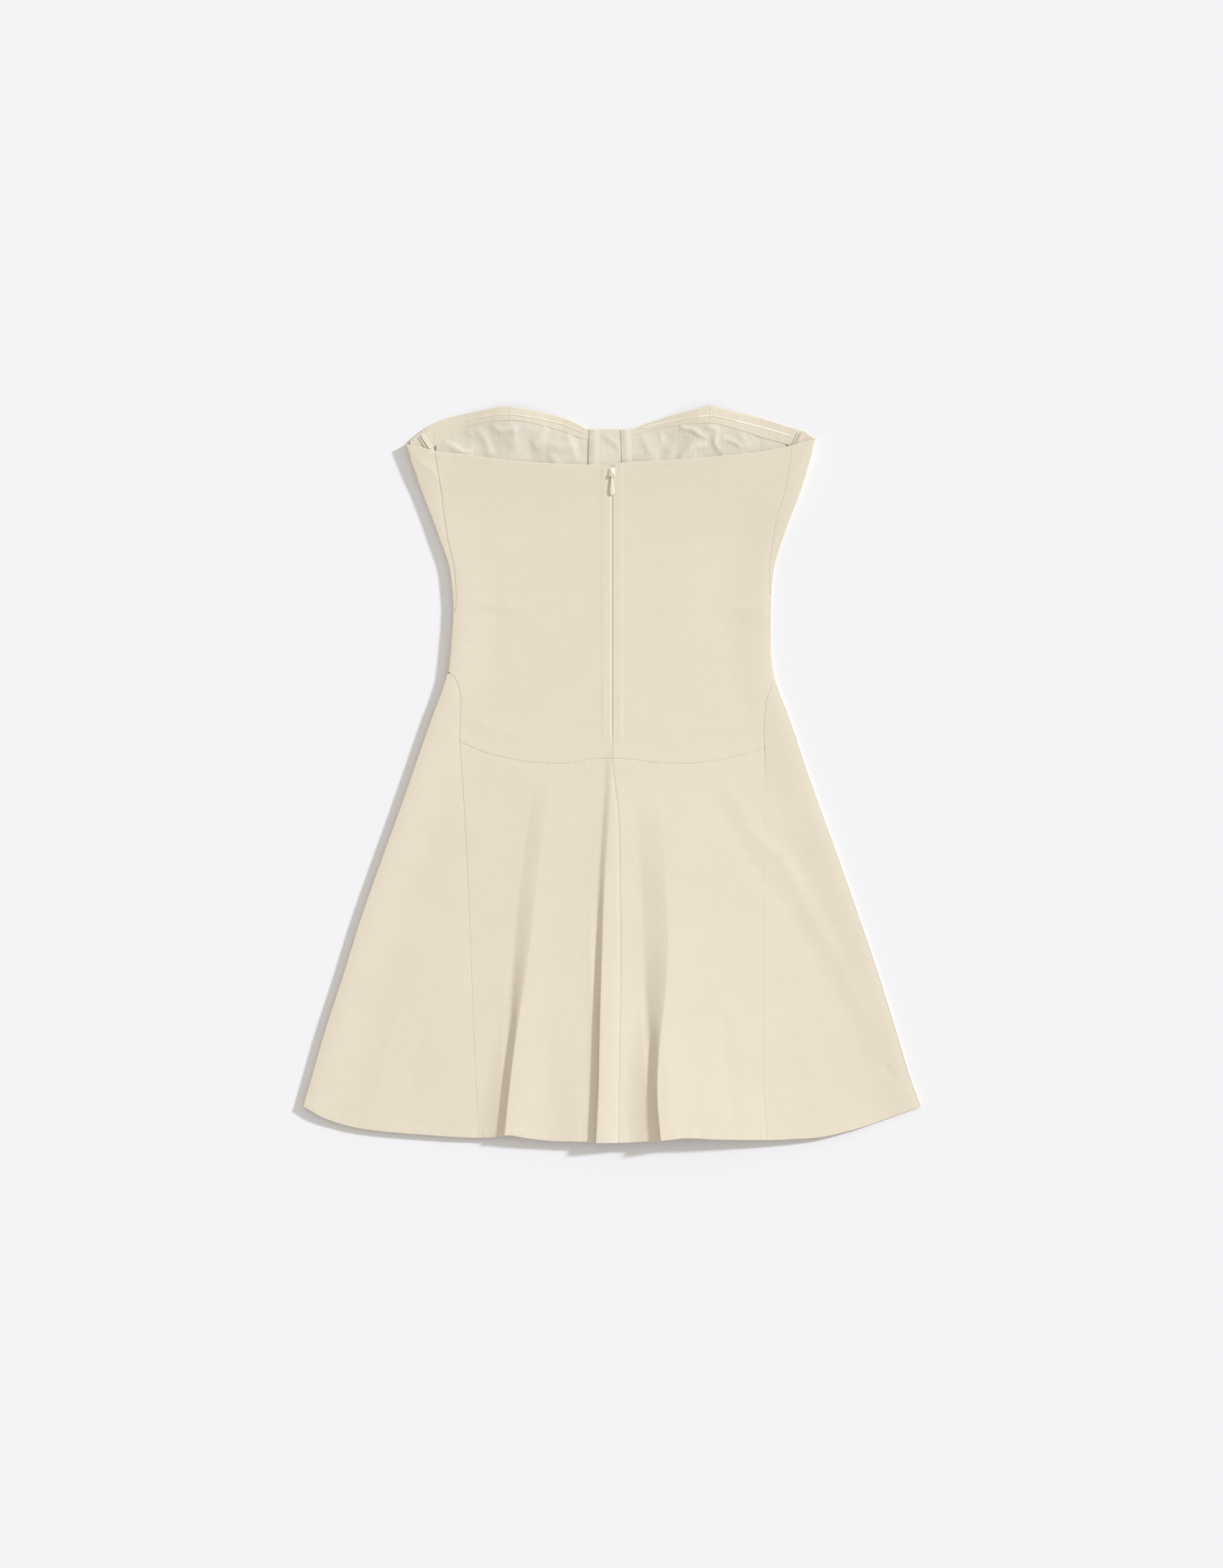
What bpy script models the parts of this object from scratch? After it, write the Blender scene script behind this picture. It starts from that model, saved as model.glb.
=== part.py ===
"""Strapless mini dress lying flat on its front, with its back up.

Millimetres in the tables, metres in the meshes. +X is the wearer's right,
+Y runs from the hem to the neckline, +Z is up. The origin is on the surface
that the dress lies on, under the middle of its outline.

The dress is a flattened tube of cut pieces. Each piece is an open grid whose
points lie on the outside of the garment, and its wall goes inwards.
A point is placed by its distance q round the side edge (q > 0 on the back,
q < 0 on the front) or by x where a piece keeps clear of the side edges.
"""

import math

import bmesh
import bpy
import numpy as np
from mathutils import Vector

for old in list(bpy.data.objects):
    bpy.data.objects.remove(old, do_unlink=True)

MM = 0.001

# ---------------------------------------------------------------- sizes, mm
WALL = 1.0  # cloth wall
GAP = 0.3  # between layers that lie on each other
SEAM_HALF = 0.2  # each piece stops this far from its seam line
EDGE_SEAM_HALF = 0.5  # the same at the seams that run along the side edges
JOIN_HALF = 0.3  # the same at the drop-waist seam
LOOP_DEPTH = 2.2  # how far in from the side edge its fold begins
LOOP_ARC = 3.2  # surface length from the edge's outermost line to that point
FRONT_HEM_UP = 1.5  # the front hem lies this far above the back hem
CENTRE_BACK = -0.4  # x of the closed zip
ZIP_FOOT = 33.0  # y where the zip ends
ZIP_HEAD = 294.5  # y of the slider's lower end
ZIP_TAPE_HALF = 8.0
LINING_BELOW = 12.0  # the lining goes on this far below the back's top edge
BONE_WIDTH = 9.6
SIDE_BONE_WIDTH = 7.0
GRIPPER_WIDTH = 2.4
GRIPPER_THICK = 0.7

# Side edges: the flat outline, left and right, from hem corner to underarm.
OUTLINE = [
    # name,          y,      left,   right
    ("hem corner", -328.4, -305.7, 305.7),
    ("hem band", -299.0, -297.2, 295.0),
    ("lower skirt", -256.7, -285.1, 282.2),
    ("skirt 5", -199.9, -266.6, 264.5),
    ("skirt 4", -143.1, -248.9, 245.3),
    ("skirt 3", -86.3, -229.0, 225.4),
    ("skirt 2", -29.5, -208.4, 204.8),
    ("skirt 1", 13.1, -193.5, 189.9),
    ("upper skirt", 55.7, -178.6, 175.7),
    ("gore point", 84.1, -167.9, 164.6),
    ("high hip", 101.9, -163.0, 160.1),
    ("below waist", 126.7, -160.1, 157.5),
    ("waist", 162.2, -157.4, 157.2),
    ("above waist", 197.7, -160.1, 159.4),
    ("ribs", 240.3, -173.6, 171.5),
    ("under bust", 282.9, -189.9, 187.8),
    ("bust", 311.3, -199.9, 196.3),
    ("corner", 326.0, -204.5, 199.9),
    ("over corner", 336.0, -207.0, 202.6),
]

# Sweetheart neckline of the front, the upper outline.
NECKLINE = [
    # name,             x,      y
    ("left corner", -204.5, 326.0),
    ("left shoulder", -193.0, 336.2),
    ("left rise", -180.0, 345.4),
    ("left crest", -160.0, 353.3),
    ("left outer cup", -126.7, 360.3),
    ("left apex", -104.0, 363.9),
    ("left inner cup", -81.3, 360.7),
    ("left fall", -59.3, 356.1),
    ("left dip", -39.4, 349.7),
    ("bridge left", -22.4, 341.7),
    ("bridge right", 18.1, 341.7),
    ("right dip", 30.9, 346.1),
    ("right fall", 58.0, 354.6),
    ("right inner cup", 82.0, 361.0),
    ("right apex", 95.5, 364.6),
    ("right outer cup", 114.7, 360.3),
    ("right crest", 150.0, 351.8),
    ("right rise", 182.1, 341.9),
    ("right shoulder", 189.2, 340.0),
    ("right corner", 201.0, 331.8),
]

# Lower edge of the neckline facing, inside the front.
FACING_EDGE = [
    # name,           x,      y
    ("left end", -186.0, 319.0),
    ("left low", -175.7, 324.5),
    ("left rise", -160.1, 336.6),
    ("left outer", -137.4, 345.4),
    ("left apex", -101.2, 350.0),
    ("left inner", -81.3, 347.5),
    ("left fall", -52.0, 340.0),
    ("left bridge", -22.4, 331.2),
    ("right bridge", 18.1, 335.0),
    ("right fall", 45.0, 342.2),
    ("right inner", 75.6, 346.1),
    ("right apex", 96.0, 347.2),
    ("right outer", 126.0, 340.4),
    ("right rise", 150.0, 332.5),
    ("right low", 176.8, 324.8),
    ("right end", 186.0, 321.0),
]

# Top edge of the back; the two halves part a little at the open zip end.
BACK_TOP = [
    # name,           x,      y
    ("left corner", -204.5, 326.0),
    ("left side", -192.8, 324.4),
    ("left seam", -175.7, 319.9),
    ("left outer", -140.9, 315.6),
    ("left middle", -97.6, 309.9),
    ("left inner", -55.0, 307.1),
    ("left zip", -3.2, 305.7),
    ("right zip", 2.5, 307.1),
    ("right inner", 27.3, 309.2),
    ("right middle", 81.0, 312.6),
    ("right outer", 136.0, 317.7),
    ("right seam", 173.6, 324.4),
    ("right side", 186.7, 328.0),
    ("right corner", 201.0, 331.8),
]

# Drop-waist seam, the same on back and front.
DROP_WAIST = [
    # name,          x,      y
    ("left end", -150.5, 31.9),
    ("left turn", -127.4, 21.7),
    ("left outer", -105.0, 15.7),
    ("left low", -70.6, 11.0),
    ("left inner", -45.0, 10.6),
    ("centre left", -14.6, 15.3),
    ("centre", 0.0, 15.6),
    ("centre right", 18.8, 14.6),
    ("right inner", 45.0, 11.0),
    ("right low", 76.0, 10.6),
    ("right outer", 108.3, 14.6),
    ("right turn", 132.0, 20.4),
    ("right end", 150.2, 26.9),
]

# Hem of the back and of the side gores.
HEM = [
    # name,          x,       y
    ("left corner", -305.7, -328.4),
    ("left curve", -283.0, -341.0),
    ("left side", -247.4, -350.7),
    ("left gore", -190.6, -356.4),
    ("left seam", -131.7, -359.6),
    ("fold a foot", -112.0, -358.7),
    ("fold a lip", -102.6, -356.8),
    ("between 1", -84.0, -359.8),
    ("between 2", -56.0, -362.7),
    ("fold b foot", -30.0, -363.2),
    ("fold b lip", -16.0, -364.3),
    ("centre", 6.7, -364.2),
    ("fold c foot", 40.0, -362.4),
    ("fold c lip", 52.0, -361.6),
    ("right 1", 72.0, -359.4),
    ("right 2", 107.6, -361.0),
    ("right seam", 153.0, -361.6),
    ("right gore", 200.0, -359.6),
    ("right side", 235.4, -352.5),
    ("right curve", 270.0, -341.4),
    ("right corner", 305.7, -328.4),
]

# Seam between the bodice back and the side piece: q round the side edge.
SIDE_BACK_SEAM = [
    # name,        y,    left q, right q
    ("peak", 101.9, -1.2, -1.2),
    ("below waist", 126.7, -0.6, -0.6),
    ("waist", 155.0, 2.4, 1.8),
    ("above waist", 178.0, 4.4, 3.2),
    ("ribs", 216.0, 6.4, 8.0),
    ("under bust", 250.3, 12.5, 14.3),
    ("bust", 284.4, 21.3, 18.0),
    ("top", 320.0, 27.8, 22.6),
]

# Seam of the skirt's side gore. It climbs to a point at the side edge.
GORE_SEAM = [
    # name,          y,      left,   right
    ("hem", -360.0, -131.7, 153.0),
    ("lower", -302.1, -135.3, 149.7),
    ("middle", -175.0, -140.2, 149.7),
    ("upper", -57.9, -145.2, 149.9),
    ("hip", -5.0, -148.4, 151.6),
    ("join", 29.0, -150.5, 150.2),
    ("join top", 45.1, -150.6, 149.8),
    ("shoulder", 70.0, -149.8, 151.6),
    ("turn", 87.0, -152.1, 157.0),
    ("near point", 96.5, -156.6, 162.0),
]
GORE_POINT = {"left": 101.9, "right": 99.5}  # y of the gore's point

# The skirt's centre back seam, which leans to the right below the zip.
CENTRE_SEAM = [
    # name,         y,      x
    ("drop waist", 15.6, -0.4),
    ("upper", -58.0, 6.6),
    ("middle", -204.0, 7.8),
    ("lower", -278.0, 6.4),
    ("hem", -361.0, 5.9),
]

# Seams of the front, on the underside.
FRONT_SEAMS = [
    # name,         y,    side l, apex l, centre l, centre r, apex r, side r
    ("drop waist", 15.0, -112.0, -97.0, -36.0, 31.0, 90.0, 112.0),
    ("high hip", 101.9, -113.0, -92.0, -32.0, 27.0, 85.0, 112.0),
    ("waist", 162.2, -116.0, -88.0, -28.0, 24.0, 82.0, 115.0),
    ("ribs", 230.0, -136.0, -93.0, -25.0, 21.0, 86.0, 134.0),
    ("bust", 311.3, -176.0, -101.0, -23.0, 19.0, 94.0, 173.0),
    ("neckline", 350.0, -191.0, -104.0, -22.4, 18.1, 95.5, 187.0),
]

# Height of the back's upper side above the surface, without its folds.
BACK_HEIGHT = [
    # name,           y,      edge, middle
    ("hem", -365.0, 5.4, 4.3),
    ("skirt", -150.0, 5.6, 4.4),
    ("drop waist", 15.0, 5.8, 4.7),
    ("waist", 160.0, 6.0, 4.8),
    ("ribs", 235.0, 5.5, 4.7),
    ("under bust", 275.0, 5.2, 5.1),
    ("bust", 300.0, 6.0, 5.9),
    ("top", 335.0, 6.8, 6.6),
]

# Folds of the flared back skirt. To the left of each line the cloth climbs in
# a flank, then over a short lip; to the right it falls slowly to the side edge.
BACK_FOLDS = [
    # name, start y, x of the foot at -20, -130, -230, -300, -362, flank, flank width, lip, lip width, soft width, soft to, sharp from, quick fall
    ("fold_a", 0.0, -79.5, -93.0, -100.0, -104.6, -110.0, 4.0, 30.0, 2.9, 3.4, 16.0, -120.0, -340.0, 0.10),
    ("fold_b", 30.0, -7.9, -13.6, -15.0, -16.0, -18.6, 4.6, 46.0, 4.0, 3.0, 6.5, -60.0, -280.0, 0.18),
    ("fold_c", -20.0, 24.0, 29.8, 34.4, 38.4, 44.4, 6.2, 40.0, 3.6, 4.0, 24.0, -150.0, -345.0, 0.05),
]
FOLD_REACH = {"fold_a": 140.0, "fold_b": 210.0, "fold_c": 300.0}  # how far right each one is felt
FOLD_RUN = [("top", -20.0), ("upper", -130.0), ("middle", -230.0), ("lower", -300.0), ("hem", -362.0)]

# Soft ridges of the front skirt, under the back's folds, and a few in the bodice.
FRONT_RIDGES = [
    # name,      x high, y high, x low, y low, height, half width
    ("left", -60.0, -60.0, -72.0, -380.0, 2.6, 30.0),
    ("centre", 8.0, -40.0, 12.0, -380.0, 5.2, 40.0),
    ("right", 62.0, -30.0, 78.0, -380.0, 7.8, 56.0),
    ("far right", 120.0, -120.0, 152.0, -380.0, 3.6, 50.0),
]

# Domes of the front cups, which lift the neckline off the surface.
CUPS = [
    # name,    x,      y,    height, half x, half y
    ("left", -100.0, 356.0, 3.4, 62.0, 42.0),
    ("right", 92.0, 356.0, 3.0, 62.0, 42.0),
]


# ------------------------------------------------------------ small functions
def column(table, key, value):
    """A smooth curve through one column of a table, as a function of another."""
    rows = sorted((row[key], row[value]) for row in table)
    xs = np.array([row[0] for row in rows])
    ys = np.array([row[1] for row in rows])
    slopes = np.diff(ys) / np.diff(xs)
    tangents = np.empty(len(xs))
    tangents[0], tangents[-1] = slopes[0], slopes[-1]
    for i in range(1, len(xs) - 1):
        if slopes[i - 1] * slopes[i] <= 0:
            tangents[i] = 0.0
        else:
            tangents[i] = 2 * slopes[i - 1] * slopes[i] / (slopes[i - 1] + slopes[i])

    def curve(at):
        if at <= xs[0]:
            return ys[0] + tangents[0] * (at - xs[0])
        if at >= xs[-1]:
            return ys[-1] + tangents[-1] * (at - xs[-1])
        i = int(np.searchsorted(xs, at)) - 1
        width = xs[i + 1] - xs[i]
        t = (at - xs[i]) / width
        return (
            (1 + 2 * t) * (1 - t) ** 2 * ys[i]
            + t * (1 - t) ** 2 * width * tangents[i]
            + t * t * (3 - 2 * t) * ys[i + 1]
            + t * t * (t - 1) * width * tangents[i + 1]
        )

    return curve


def lerp(a, b, t):
    return a + (b - a) * t


def ramp(value, low, high):
    """0 at low, 1 at high, with a soft start and end."""
    t = min(1.0, max(0.0, (value - low) / (high - low)))
    return t * t * (3 - 2 * t)


edge_left = column(OUTLINE, 1, 2)
edge_right = column(OUTLINE, 1, 3)
EDGE = {"left": edge_left, "right": edge_right}
INWARD = {"left": 1.0, "right": -1.0}
neckline = column(NECKLINE, 1, 2)
facing_edge = column(FACING_EDGE, 1, 2)
back_top_edge = column(BACK_TOP, 1, 2)
drop_waist = column(DROP_WAIST, 1, 2)
hem = column(HEM, 1, 2)
side_seam_q = {"left": column(SIDE_BACK_SEAM, 1, 2), "right": column(SIDE_BACK_SEAM, 1, 3)}
gore_seam = {"left": column(GORE_SEAM, 1, 2), "right": column(GORE_SEAM, 1, 3)}
centre_seam = column(CENTRE_SEAM, 1, 2)
edge_height = column(BACK_HEIGHT, 1, 2)
middle_height = column(BACK_HEIGHT, 1, 3)
front_seam = {
    name: column(FRONT_SEAMS, 1, i)
    for i, name in enumerate(["side_left", "apex_left", "centre_left", "centre_right", "apex_right", "side_right"], 2)
}


def fold_line(fold):
    return column([(name, y, fold[2 + i]) for i, (name, y) in enumerate(FOLD_RUN)], 1, 2)


def fold_width(fold, y):
    """How wide a fold's lip is, from soft at its head to sharp at the hem."""
    return lerp(fold[11], fold[10], ramp(-y, -fold[12], -fold[13]))


FOLD_LINES = {
    fold[0]: (lambda y, fold=fold, foot=fold_line(fold): foot(y) + fold_width(fold, y)) for fold in BACK_FOLDS
}


def fold_height(x, y):
    """What the folds add to the back's height."""
    total = 0.0
    for name, start, *_, flank, flank_width, lip, lip_width, soft_width, soft, sharp, quick in BACK_FOLDS:
        if y >= start:
            continue
        line = FOLD_LINES[name](y)
        grown = 1 - (1 - min(1.0, (start - y) / (start + 362.0))) ** 1.6
        low = ramp(-y, 120.0, 362.0)
        crisp = ramp(-y, -soft, -sharp)
        s = x - line
        width = lerp(soft_width, lip_width, crisp)
        reach = lerp(0.45 * flank_width, flank_width, low)
        rise = flank * lerp(0.25, 1.0, low) * grown * max(0.0, min(1.0, (s + reach) / reach)) ** 2.0
        t = max(0.0, min(1.0, (s + width) / width))
        rise += lip * grown**0.7 * lerp(0.86, 1.0, crisp) * lerp(1 - (1 - t) ** 2, t * t * (3 - 2 * t), 0.4 + 0.6 * crisp)
        right = min(edge_right(y) - LOOP_DEPTH - 6.0 - line, FOLD_REACH[name])
        total += rise * (1 - ramp(s, -0.35 * right, right)) * (1 - quick * ramp(s, 0.0, 34.0))
    return total


def back_height(x, y):
    """The outside of the back: its upper side."""
    inset = min(x - edge_left(y), edge_right(y) - x) - LOOP_DEPTH
    base = lerp(edge_height(y), middle_height(y), ramp(inset, 0.0, 45.0))
    return base + fold_height(x, y)


def front_height(x, y):
    """The outside of the front: its lower side, flat on the surface but for the cups and ridges."""
    z = 0.0
    for _, cx, cy, height, half_x, half_y in CUPS:
        rx, ry = min(1.0, abs(x - cx) / half_x), min(1.0, abs(y - cy) / half_y)
        z += height * math.cos(rx * math.pi / 2) ** 2 * math.cos(ry * math.pi / 2) ** 2
    for _, x_high, y_high, x_low, y_low, height, half in FRONT_RIDGES:
        t = (y_high - y) / (y_high - y_low)
        if t <= 0:
            continue
        away = min(1.0, abs(x - lerp(x_high, x_low, t)) / half)
        z += height * ramp(t, 0.0, 0.95) * math.cos(away * math.pi / 2) ** 2
    return z


# --------------------------------------------------------- points on the dress
def back_point(x, y, lift=0.0):
    return (x, y, back_height(x, y) + lift)


def front_point(x, y, lift=0.0):
    return (x, y, front_height(x, y) + lift)


def wrap_x(side, q, y):
    """The x of a point q round the side edge."""
    edge, inward = EDGE[side](y), INWARD[side]
    if abs(q) < LOOP_ARC:
        return edge + inward * LOOP_DEPTH * (1 - math.cos(q / LOOP_ARC * math.pi / 2))
    return edge + inward * (LOOP_DEPTH + abs(q) - LOOP_ARC)


def wrap_q(side, x, y):
    """How far round the side edge a point of the back at x lies."""
    return INWARD[side] * (x - EDGE[side](y)) - LOOP_DEPTH + LOOP_ARC


def wrap_point(side, q, y):
    x = wrap_x(side, q, y)
    if q >= LOOP_ARC:
        return back_point(x, y)
    if q <= -LOOP_ARC:
        return front_point(x, y)
    shoulder = EDGE[side](y) + INWARD[side] * LOOP_DEPTH
    top, bottom = back_height(shoulder, y), front_height(shoulder, y)
    return (x, y, (top + bottom) / 2 + (top - bottom) / 2 * math.sin(q / LOOP_ARC * math.pi / 2))


def settle(rule, start, rounds=12):
    """The y at which a column meets a curve."""
    y = start
    for _ in range(rounds):
        y = rule(y)
    return y


# ------------------------------------------------------------------- materials
def material(name, color, roughness, metallic=0.0):
    made = bpy.data.materials.new(name)
    made.use_nodes = True
    shader = made.node_tree.nodes["Principled BSDF"]
    shader.inputs["Base Color"].default_value = (*color, 1.0)
    shader.inputs["Roughness"].default_value = roughness
    shader.inputs["Metallic"].default_value = metallic
    made.diffuse_color = (*color, 1.0)
    return made


COLORS = {
    # name: (colour, roughness, metallic)
    "twill": ((0.79, 0.71, 0.57), 0.85, 0.0),
    "satin": ((0.79, 0.73, 0.60), 0.38, 0.0),
    "gripper": ((0.88, 0.84, 0.76), 0.25, 0.0),
    "tape": ((0.76, 0.69, 0.55), 0.8, 0.0),
    "slider": ((0.80, 0.72, 0.58), 0.35, 0.1),
}
MATERIALS = {name: material(name, *values) for name, values in COLORS.items()}

parts = bpy.data.collections.new("strapless_dress")
bpy.context.scene.collection.children.link(parts)


# ---------------------------------------------------------------- cloth pieces
def cloth(name, columns, heights, place, outward, wall=WALL, look="twill", seams="lrbt", inset=None):
    """A piece of cloth on a grid.

    columns: for each column its q or x as a function of y.
    heights: for each column the y of every row, lowest first.
    place:   the point for one q or x and y.
    outward: 1 where the column and y directions turn to the outside, or -1.
    seams:   which edges are sewn, so that they stop short of the seam line.
    """
    count, rows = len(columns), len(heights[0])
    bm = bmesh.new()
    bmesh.ops.create_grid(bm, x_segments=count - 1, y_segments=rows - 1, size=1.0)
    flat = {}
    for vert in bm.verts:
        i = round((vert.co.x + 1) / 2 * (count - 1))
        j = round((vert.co.y + 1) / 2 * (rows - 1))
        y = heights[i][j]
        flat[i, j] = Vector((columns[i](y), y))
        vert.index = 0
    half = {"l": SEAM_HALF, "r": SEAM_HALF, "b": JOIN_HALF, "t": SEAM_HALF}
    half.update(inset or {})
    moved = dict(flat)

    def pull(i, j, toward, along, distance):
        """Moves a point of the outline towards its neighbour, distance away from the seam line."""
        start, inner = flat[i, j], flat[toward]
        direction = (inner - start).normalized()
        line = (flat[along[1]] - flat[along[0]]).normalized()
        across = abs(direction.x * line.y - direction.y * line.x)
        moved[i, j] = moved[i, j] + direction * (distance / max(0.35, across))

    for j in range(rows):
        along_j = (max(0, j - 1), min(rows - 1, j + 1))
        if "l" in seams:
            pull(0, j, (1, j), ((0, along_j[0]), (0, along_j[1])), half["l"])
        if "r" in seams:
            k = count - 1
            pull(k, j, (k - 1, j), ((k, along_j[0]), (k, along_j[1])), half["r"])
    for i in range(count):
        along_i = (max(0, i - 1), min(count - 1, i + 1))
        if "b" in seams:
            pull(i, 0, (i, 1), ((along_i[0], 0), (along_i[1], 0)), half["b"])
        if "t" in seams:
            k = rows - 1
            pull(i, k, (i, k - 1), ((along_i[0], k), (along_i[1], k)), half["t"])
    spots = {}
    for vert in bm.verts:
        i = round((vert.co.x + 1) / 2 * (count - 1))
        j = round((vert.co.y + 1) / 2 * (rows - 1))
        spots[vert] = moved[i, j]
    return walled(name, bm, spots, place, outward, wall, look)


def outward_normal(place, a, y, outward):
    """The normal of the garment's outside, from the surface itself and not from a piece's faces."""
    step = 0.25
    along = Vector(place(a + step, y)) - Vector(place(a - step, y))
    up = Vector(place(a, y + step)) - Vector(place(a, y - step))
    return along.cross(up).normalized() * outward


def walled(name, bm, spots, place, outward, wall, look):
    """Turns a grid into a wall: its copy lies the wall's thickness inside it, joined round the outline."""
    made = bmesh.ops.duplicate(bm, geom=bm.verts[:] + bm.edges[:] + bm.faces[:])
    inner = {}
    for vert in spots:
        inner[vert] = made["vert_map"][vert]
    inner_faces = [item for item in made["geom"] if isinstance(item, bmesh.types.BMFace)]
    rim = [edge for edge in bm.edges if edge.is_boundary and edge.verts[0] in spots]
    for vert, spot in spots.items():
        point = Vector(place(spot.x, spot.y))
        vert.co = point * MM
        inner[vert].co = (point - outward_normal(place, spot.x, spot.y, outward) * wall) * MM
    bmesh.ops.reverse_faces(bm, faces=inner_faces)
    for edge in rim:
        a, b = edge.verts
        bm.faces.new((a, b, inner[b], inner[a]))
    bmesh.ops.recalc_face_normals(bm, faces=bm.faces)
    bm.normal_update()
    if bm.calc_volume(signed=True) < 0:
        bmesh.ops.reverse_faces(bm, faces=bm.faces)
    mesh = bpy.data.meshes.new(name)
    bm.to_mesh(mesh)
    bm.free()
    mesh.shade_smooth()
    mesh.set_sharp_from_angle(angle=math.radians(50))
    piece = bpy.data.objects.new(name, mesh)
    parts.objects.link(piece)
    mesh.materials.append(MATERIALS[look])
    return piece


def spaced(start, end, count):
    return [lerp(start, end, i / count) for i in range(count + 1)]


def between(low, high, share):
    """A column part of the way from one column to another."""
    return lambda y: lerp(low(y), high(y), share)


def fan(guides, counts):
    """Columns at each guide, and count steps between each pair."""
    columns = [guides[0]]
    for low, high, count in zip(guides, guides[1:], counts):
        columns += [between(low, high, (i + 1) / count) for i in range(count)]
    return columns


def rows_between(columns, to_x, bottom, top, shares, low_start, high_start):
    """The y of each row in each column, from the curve below to the curve above."""
    heights = []
    for at in columns:
        low = settle(lambda y: bottom(to_x(at(y), y), at(y)), low_start)
        high = settle(lambda y: top(to_x(at(y), y), at(y)), high_start)
        heights.append([lerp(low, high, share) for share in shares])
    return heights


# Rows of the bodice above the gore's point, as shares of the height left: its
# seams share them, so that both sides match. They close up towards the cups.
UPPER_ROWS = [0.12, 0.24, 0.36, 0.48, 0.60, 0.70, 0.79, 0.86, 0.92, 0.96, 1.0]


def bodice_shares(side):
    """Shares of the side seam's height, with the gore's point among them."""
    foot, top = JOIN_Y[side], SEAM_TOP[side]
    point = (GORE_POINT[side] + 0.8 - foot) / (top - foot)
    low = [0.0, 0.42 * point, 0.72 * point, 0.9 * point, point]
    return low + [lerp(point, 1.0, share) for share in UPPER_ROWS]


JOIN_Y = {"left": drop_waist(-150.5), "right": drop_waist(150.2)}
SEAM_TOP = {}
for _side in ("left", "right"):
    SEAM_TOP[_side] = settle(
        lambda y: back_top_edge(wrap_x(_side, side_seam_q[_side](y), y)), 320.0
    )


def upper_seam(side, front=False):
    """Side-back seam above the gore's point, the gore's edge below it, as q."""

    def seam(y):
        point = GORE_POINT[side] + 0.8
        if y >= point:
            return side_seam_q[side](y)
        x = gore_seam[side](y)
        distance = wrap_q(side, x, y)
        if front:
            distance = -distance
        near = ramp(point - y, 0.0, 6.0)
        return lerp(side_seam_q[side](point), distance, near)

    return seam


def make_bodice_back(side):
    seam = upper_seam(side)
    inward = INWARD[side]
    columns = [seam]
    for k, stop in enumerate((0.4, 1.8, LOOP_ARC), 1):
        columns.append(lambda y, k=k, stop=stop: max(stop, seam(y) + 12.0 * k / 8))
    columns.append(lambda y: seam(y) + 12.0)

    def centre(y):
        parted = 3.0 * ramp(y, ZIP_HEAD, 306.0)
        return wrap_q(side, CENTRE_BACK - inward * parted, y)

    last = columns[-1]
    columns += [between(last, centre, share) for share in (0.08, 0.17, 0.28, 0.4, 0.52, 0.64, 0.76, 0.87, 0.95, 1.0)]
    heights = rows_between(
        columns,
        lambda q, y: wrap_x(side, q, y),
        lambda x, q: drop_waist(x),
        lambda x, q: back_top_edge(x),
        bodice_shares(side),
        15.0,
        310.0,
    )
    if side == "right":
        columns, heights = columns[::-1], heights[::-1]
    cloth(
        f"bodice_back_{side}",
        columns,
        heights,
        lambda q, y: wrap_point(side, q, y),
        INWARD[side],
        seams="lrb",
        inset={"l": EDGE_SEAM_HALF, "r": EDGE_SEAM_HALF},
    )


def front_q(side, seam):
    """A front seam as q, negative on the front."""
    return lambda y: -wrap_q(side, front_seam[seam](y), y)


def make_bodice_side(side):
    back = upper_seam(side, front=True)
    front = front_q(side, f"side_{side}")
    rim = -(LOOP_ARC + 5.0)
    stops = [-LOOP_ARC, -1.6, 0.0, 1.6, LOOP_ARC]

    def near_edge(k):
        def at(y):
            low = min(rim, front(y) * 0.25 + back(y) * 0.75, back(y) - 6.0)
            return min(stops[k] if back(y) > stops[k] else back(y), lerp(low, back(y), (k + 1) / 6))

        return at

    rim_column = lambda y: min(rim, front(y) * 0.25 + back(y) * 0.75, back(y) - 6.0)
    columns = [between(front, rim_column, share) for share in (0.0, 0.35, 0.7, 1.0)]
    columns += [near_edge(k) for k in range(5)]
    columns += [between(near_edge(4), back, 0.5), back]

    def top(x, q):
        return back_top_edge(x) if q > 0 else neckline(x)

    heights = rows_between(
        columns,
        lambda q, y: wrap_x(side, q, y),
        lambda x, q: drop_waist(x),
        top,
        bodice_shares(side),
        15.0,
        325.0,
    )
    if side == "right":
        columns, heights = columns[::-1], heights[::-1]
    cloth(
        f"bodice_side_{side}",
        columns,
        heights,
        lambda q, y: wrap_point(side, q, y),
        INWARD[side],
        seams="lrb",
        inset={"l": EDGE_SEAM_HALF, "r": EDGE_SEAM_HALF},
    )


def make_front(name, high_x, low_x, count, counts=None):
    """A front piece between two seams; its columns run from +X to -X, so that its outside is below."""
    columns = fan([high_x, low_x], [count])
    heights = rows_between(
        columns,
        lambda x, y: x,
        lambda x, q: drop_waist(x),
        lambda x, q: neckline(x),
        bodice_shares("left"),
        15.0,
        345.0,
    )
    cloth(name, columns, heights, front_point, -1, seams="lrb")


# Rows of the skirt, lowest first, closer where the folds bend.
SKIRT_SHARES = [0.0, 0.06, 0.14, 0.24, 0.35, 0.47, 0.6, 0.74, 0.88, 1.0]


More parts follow.
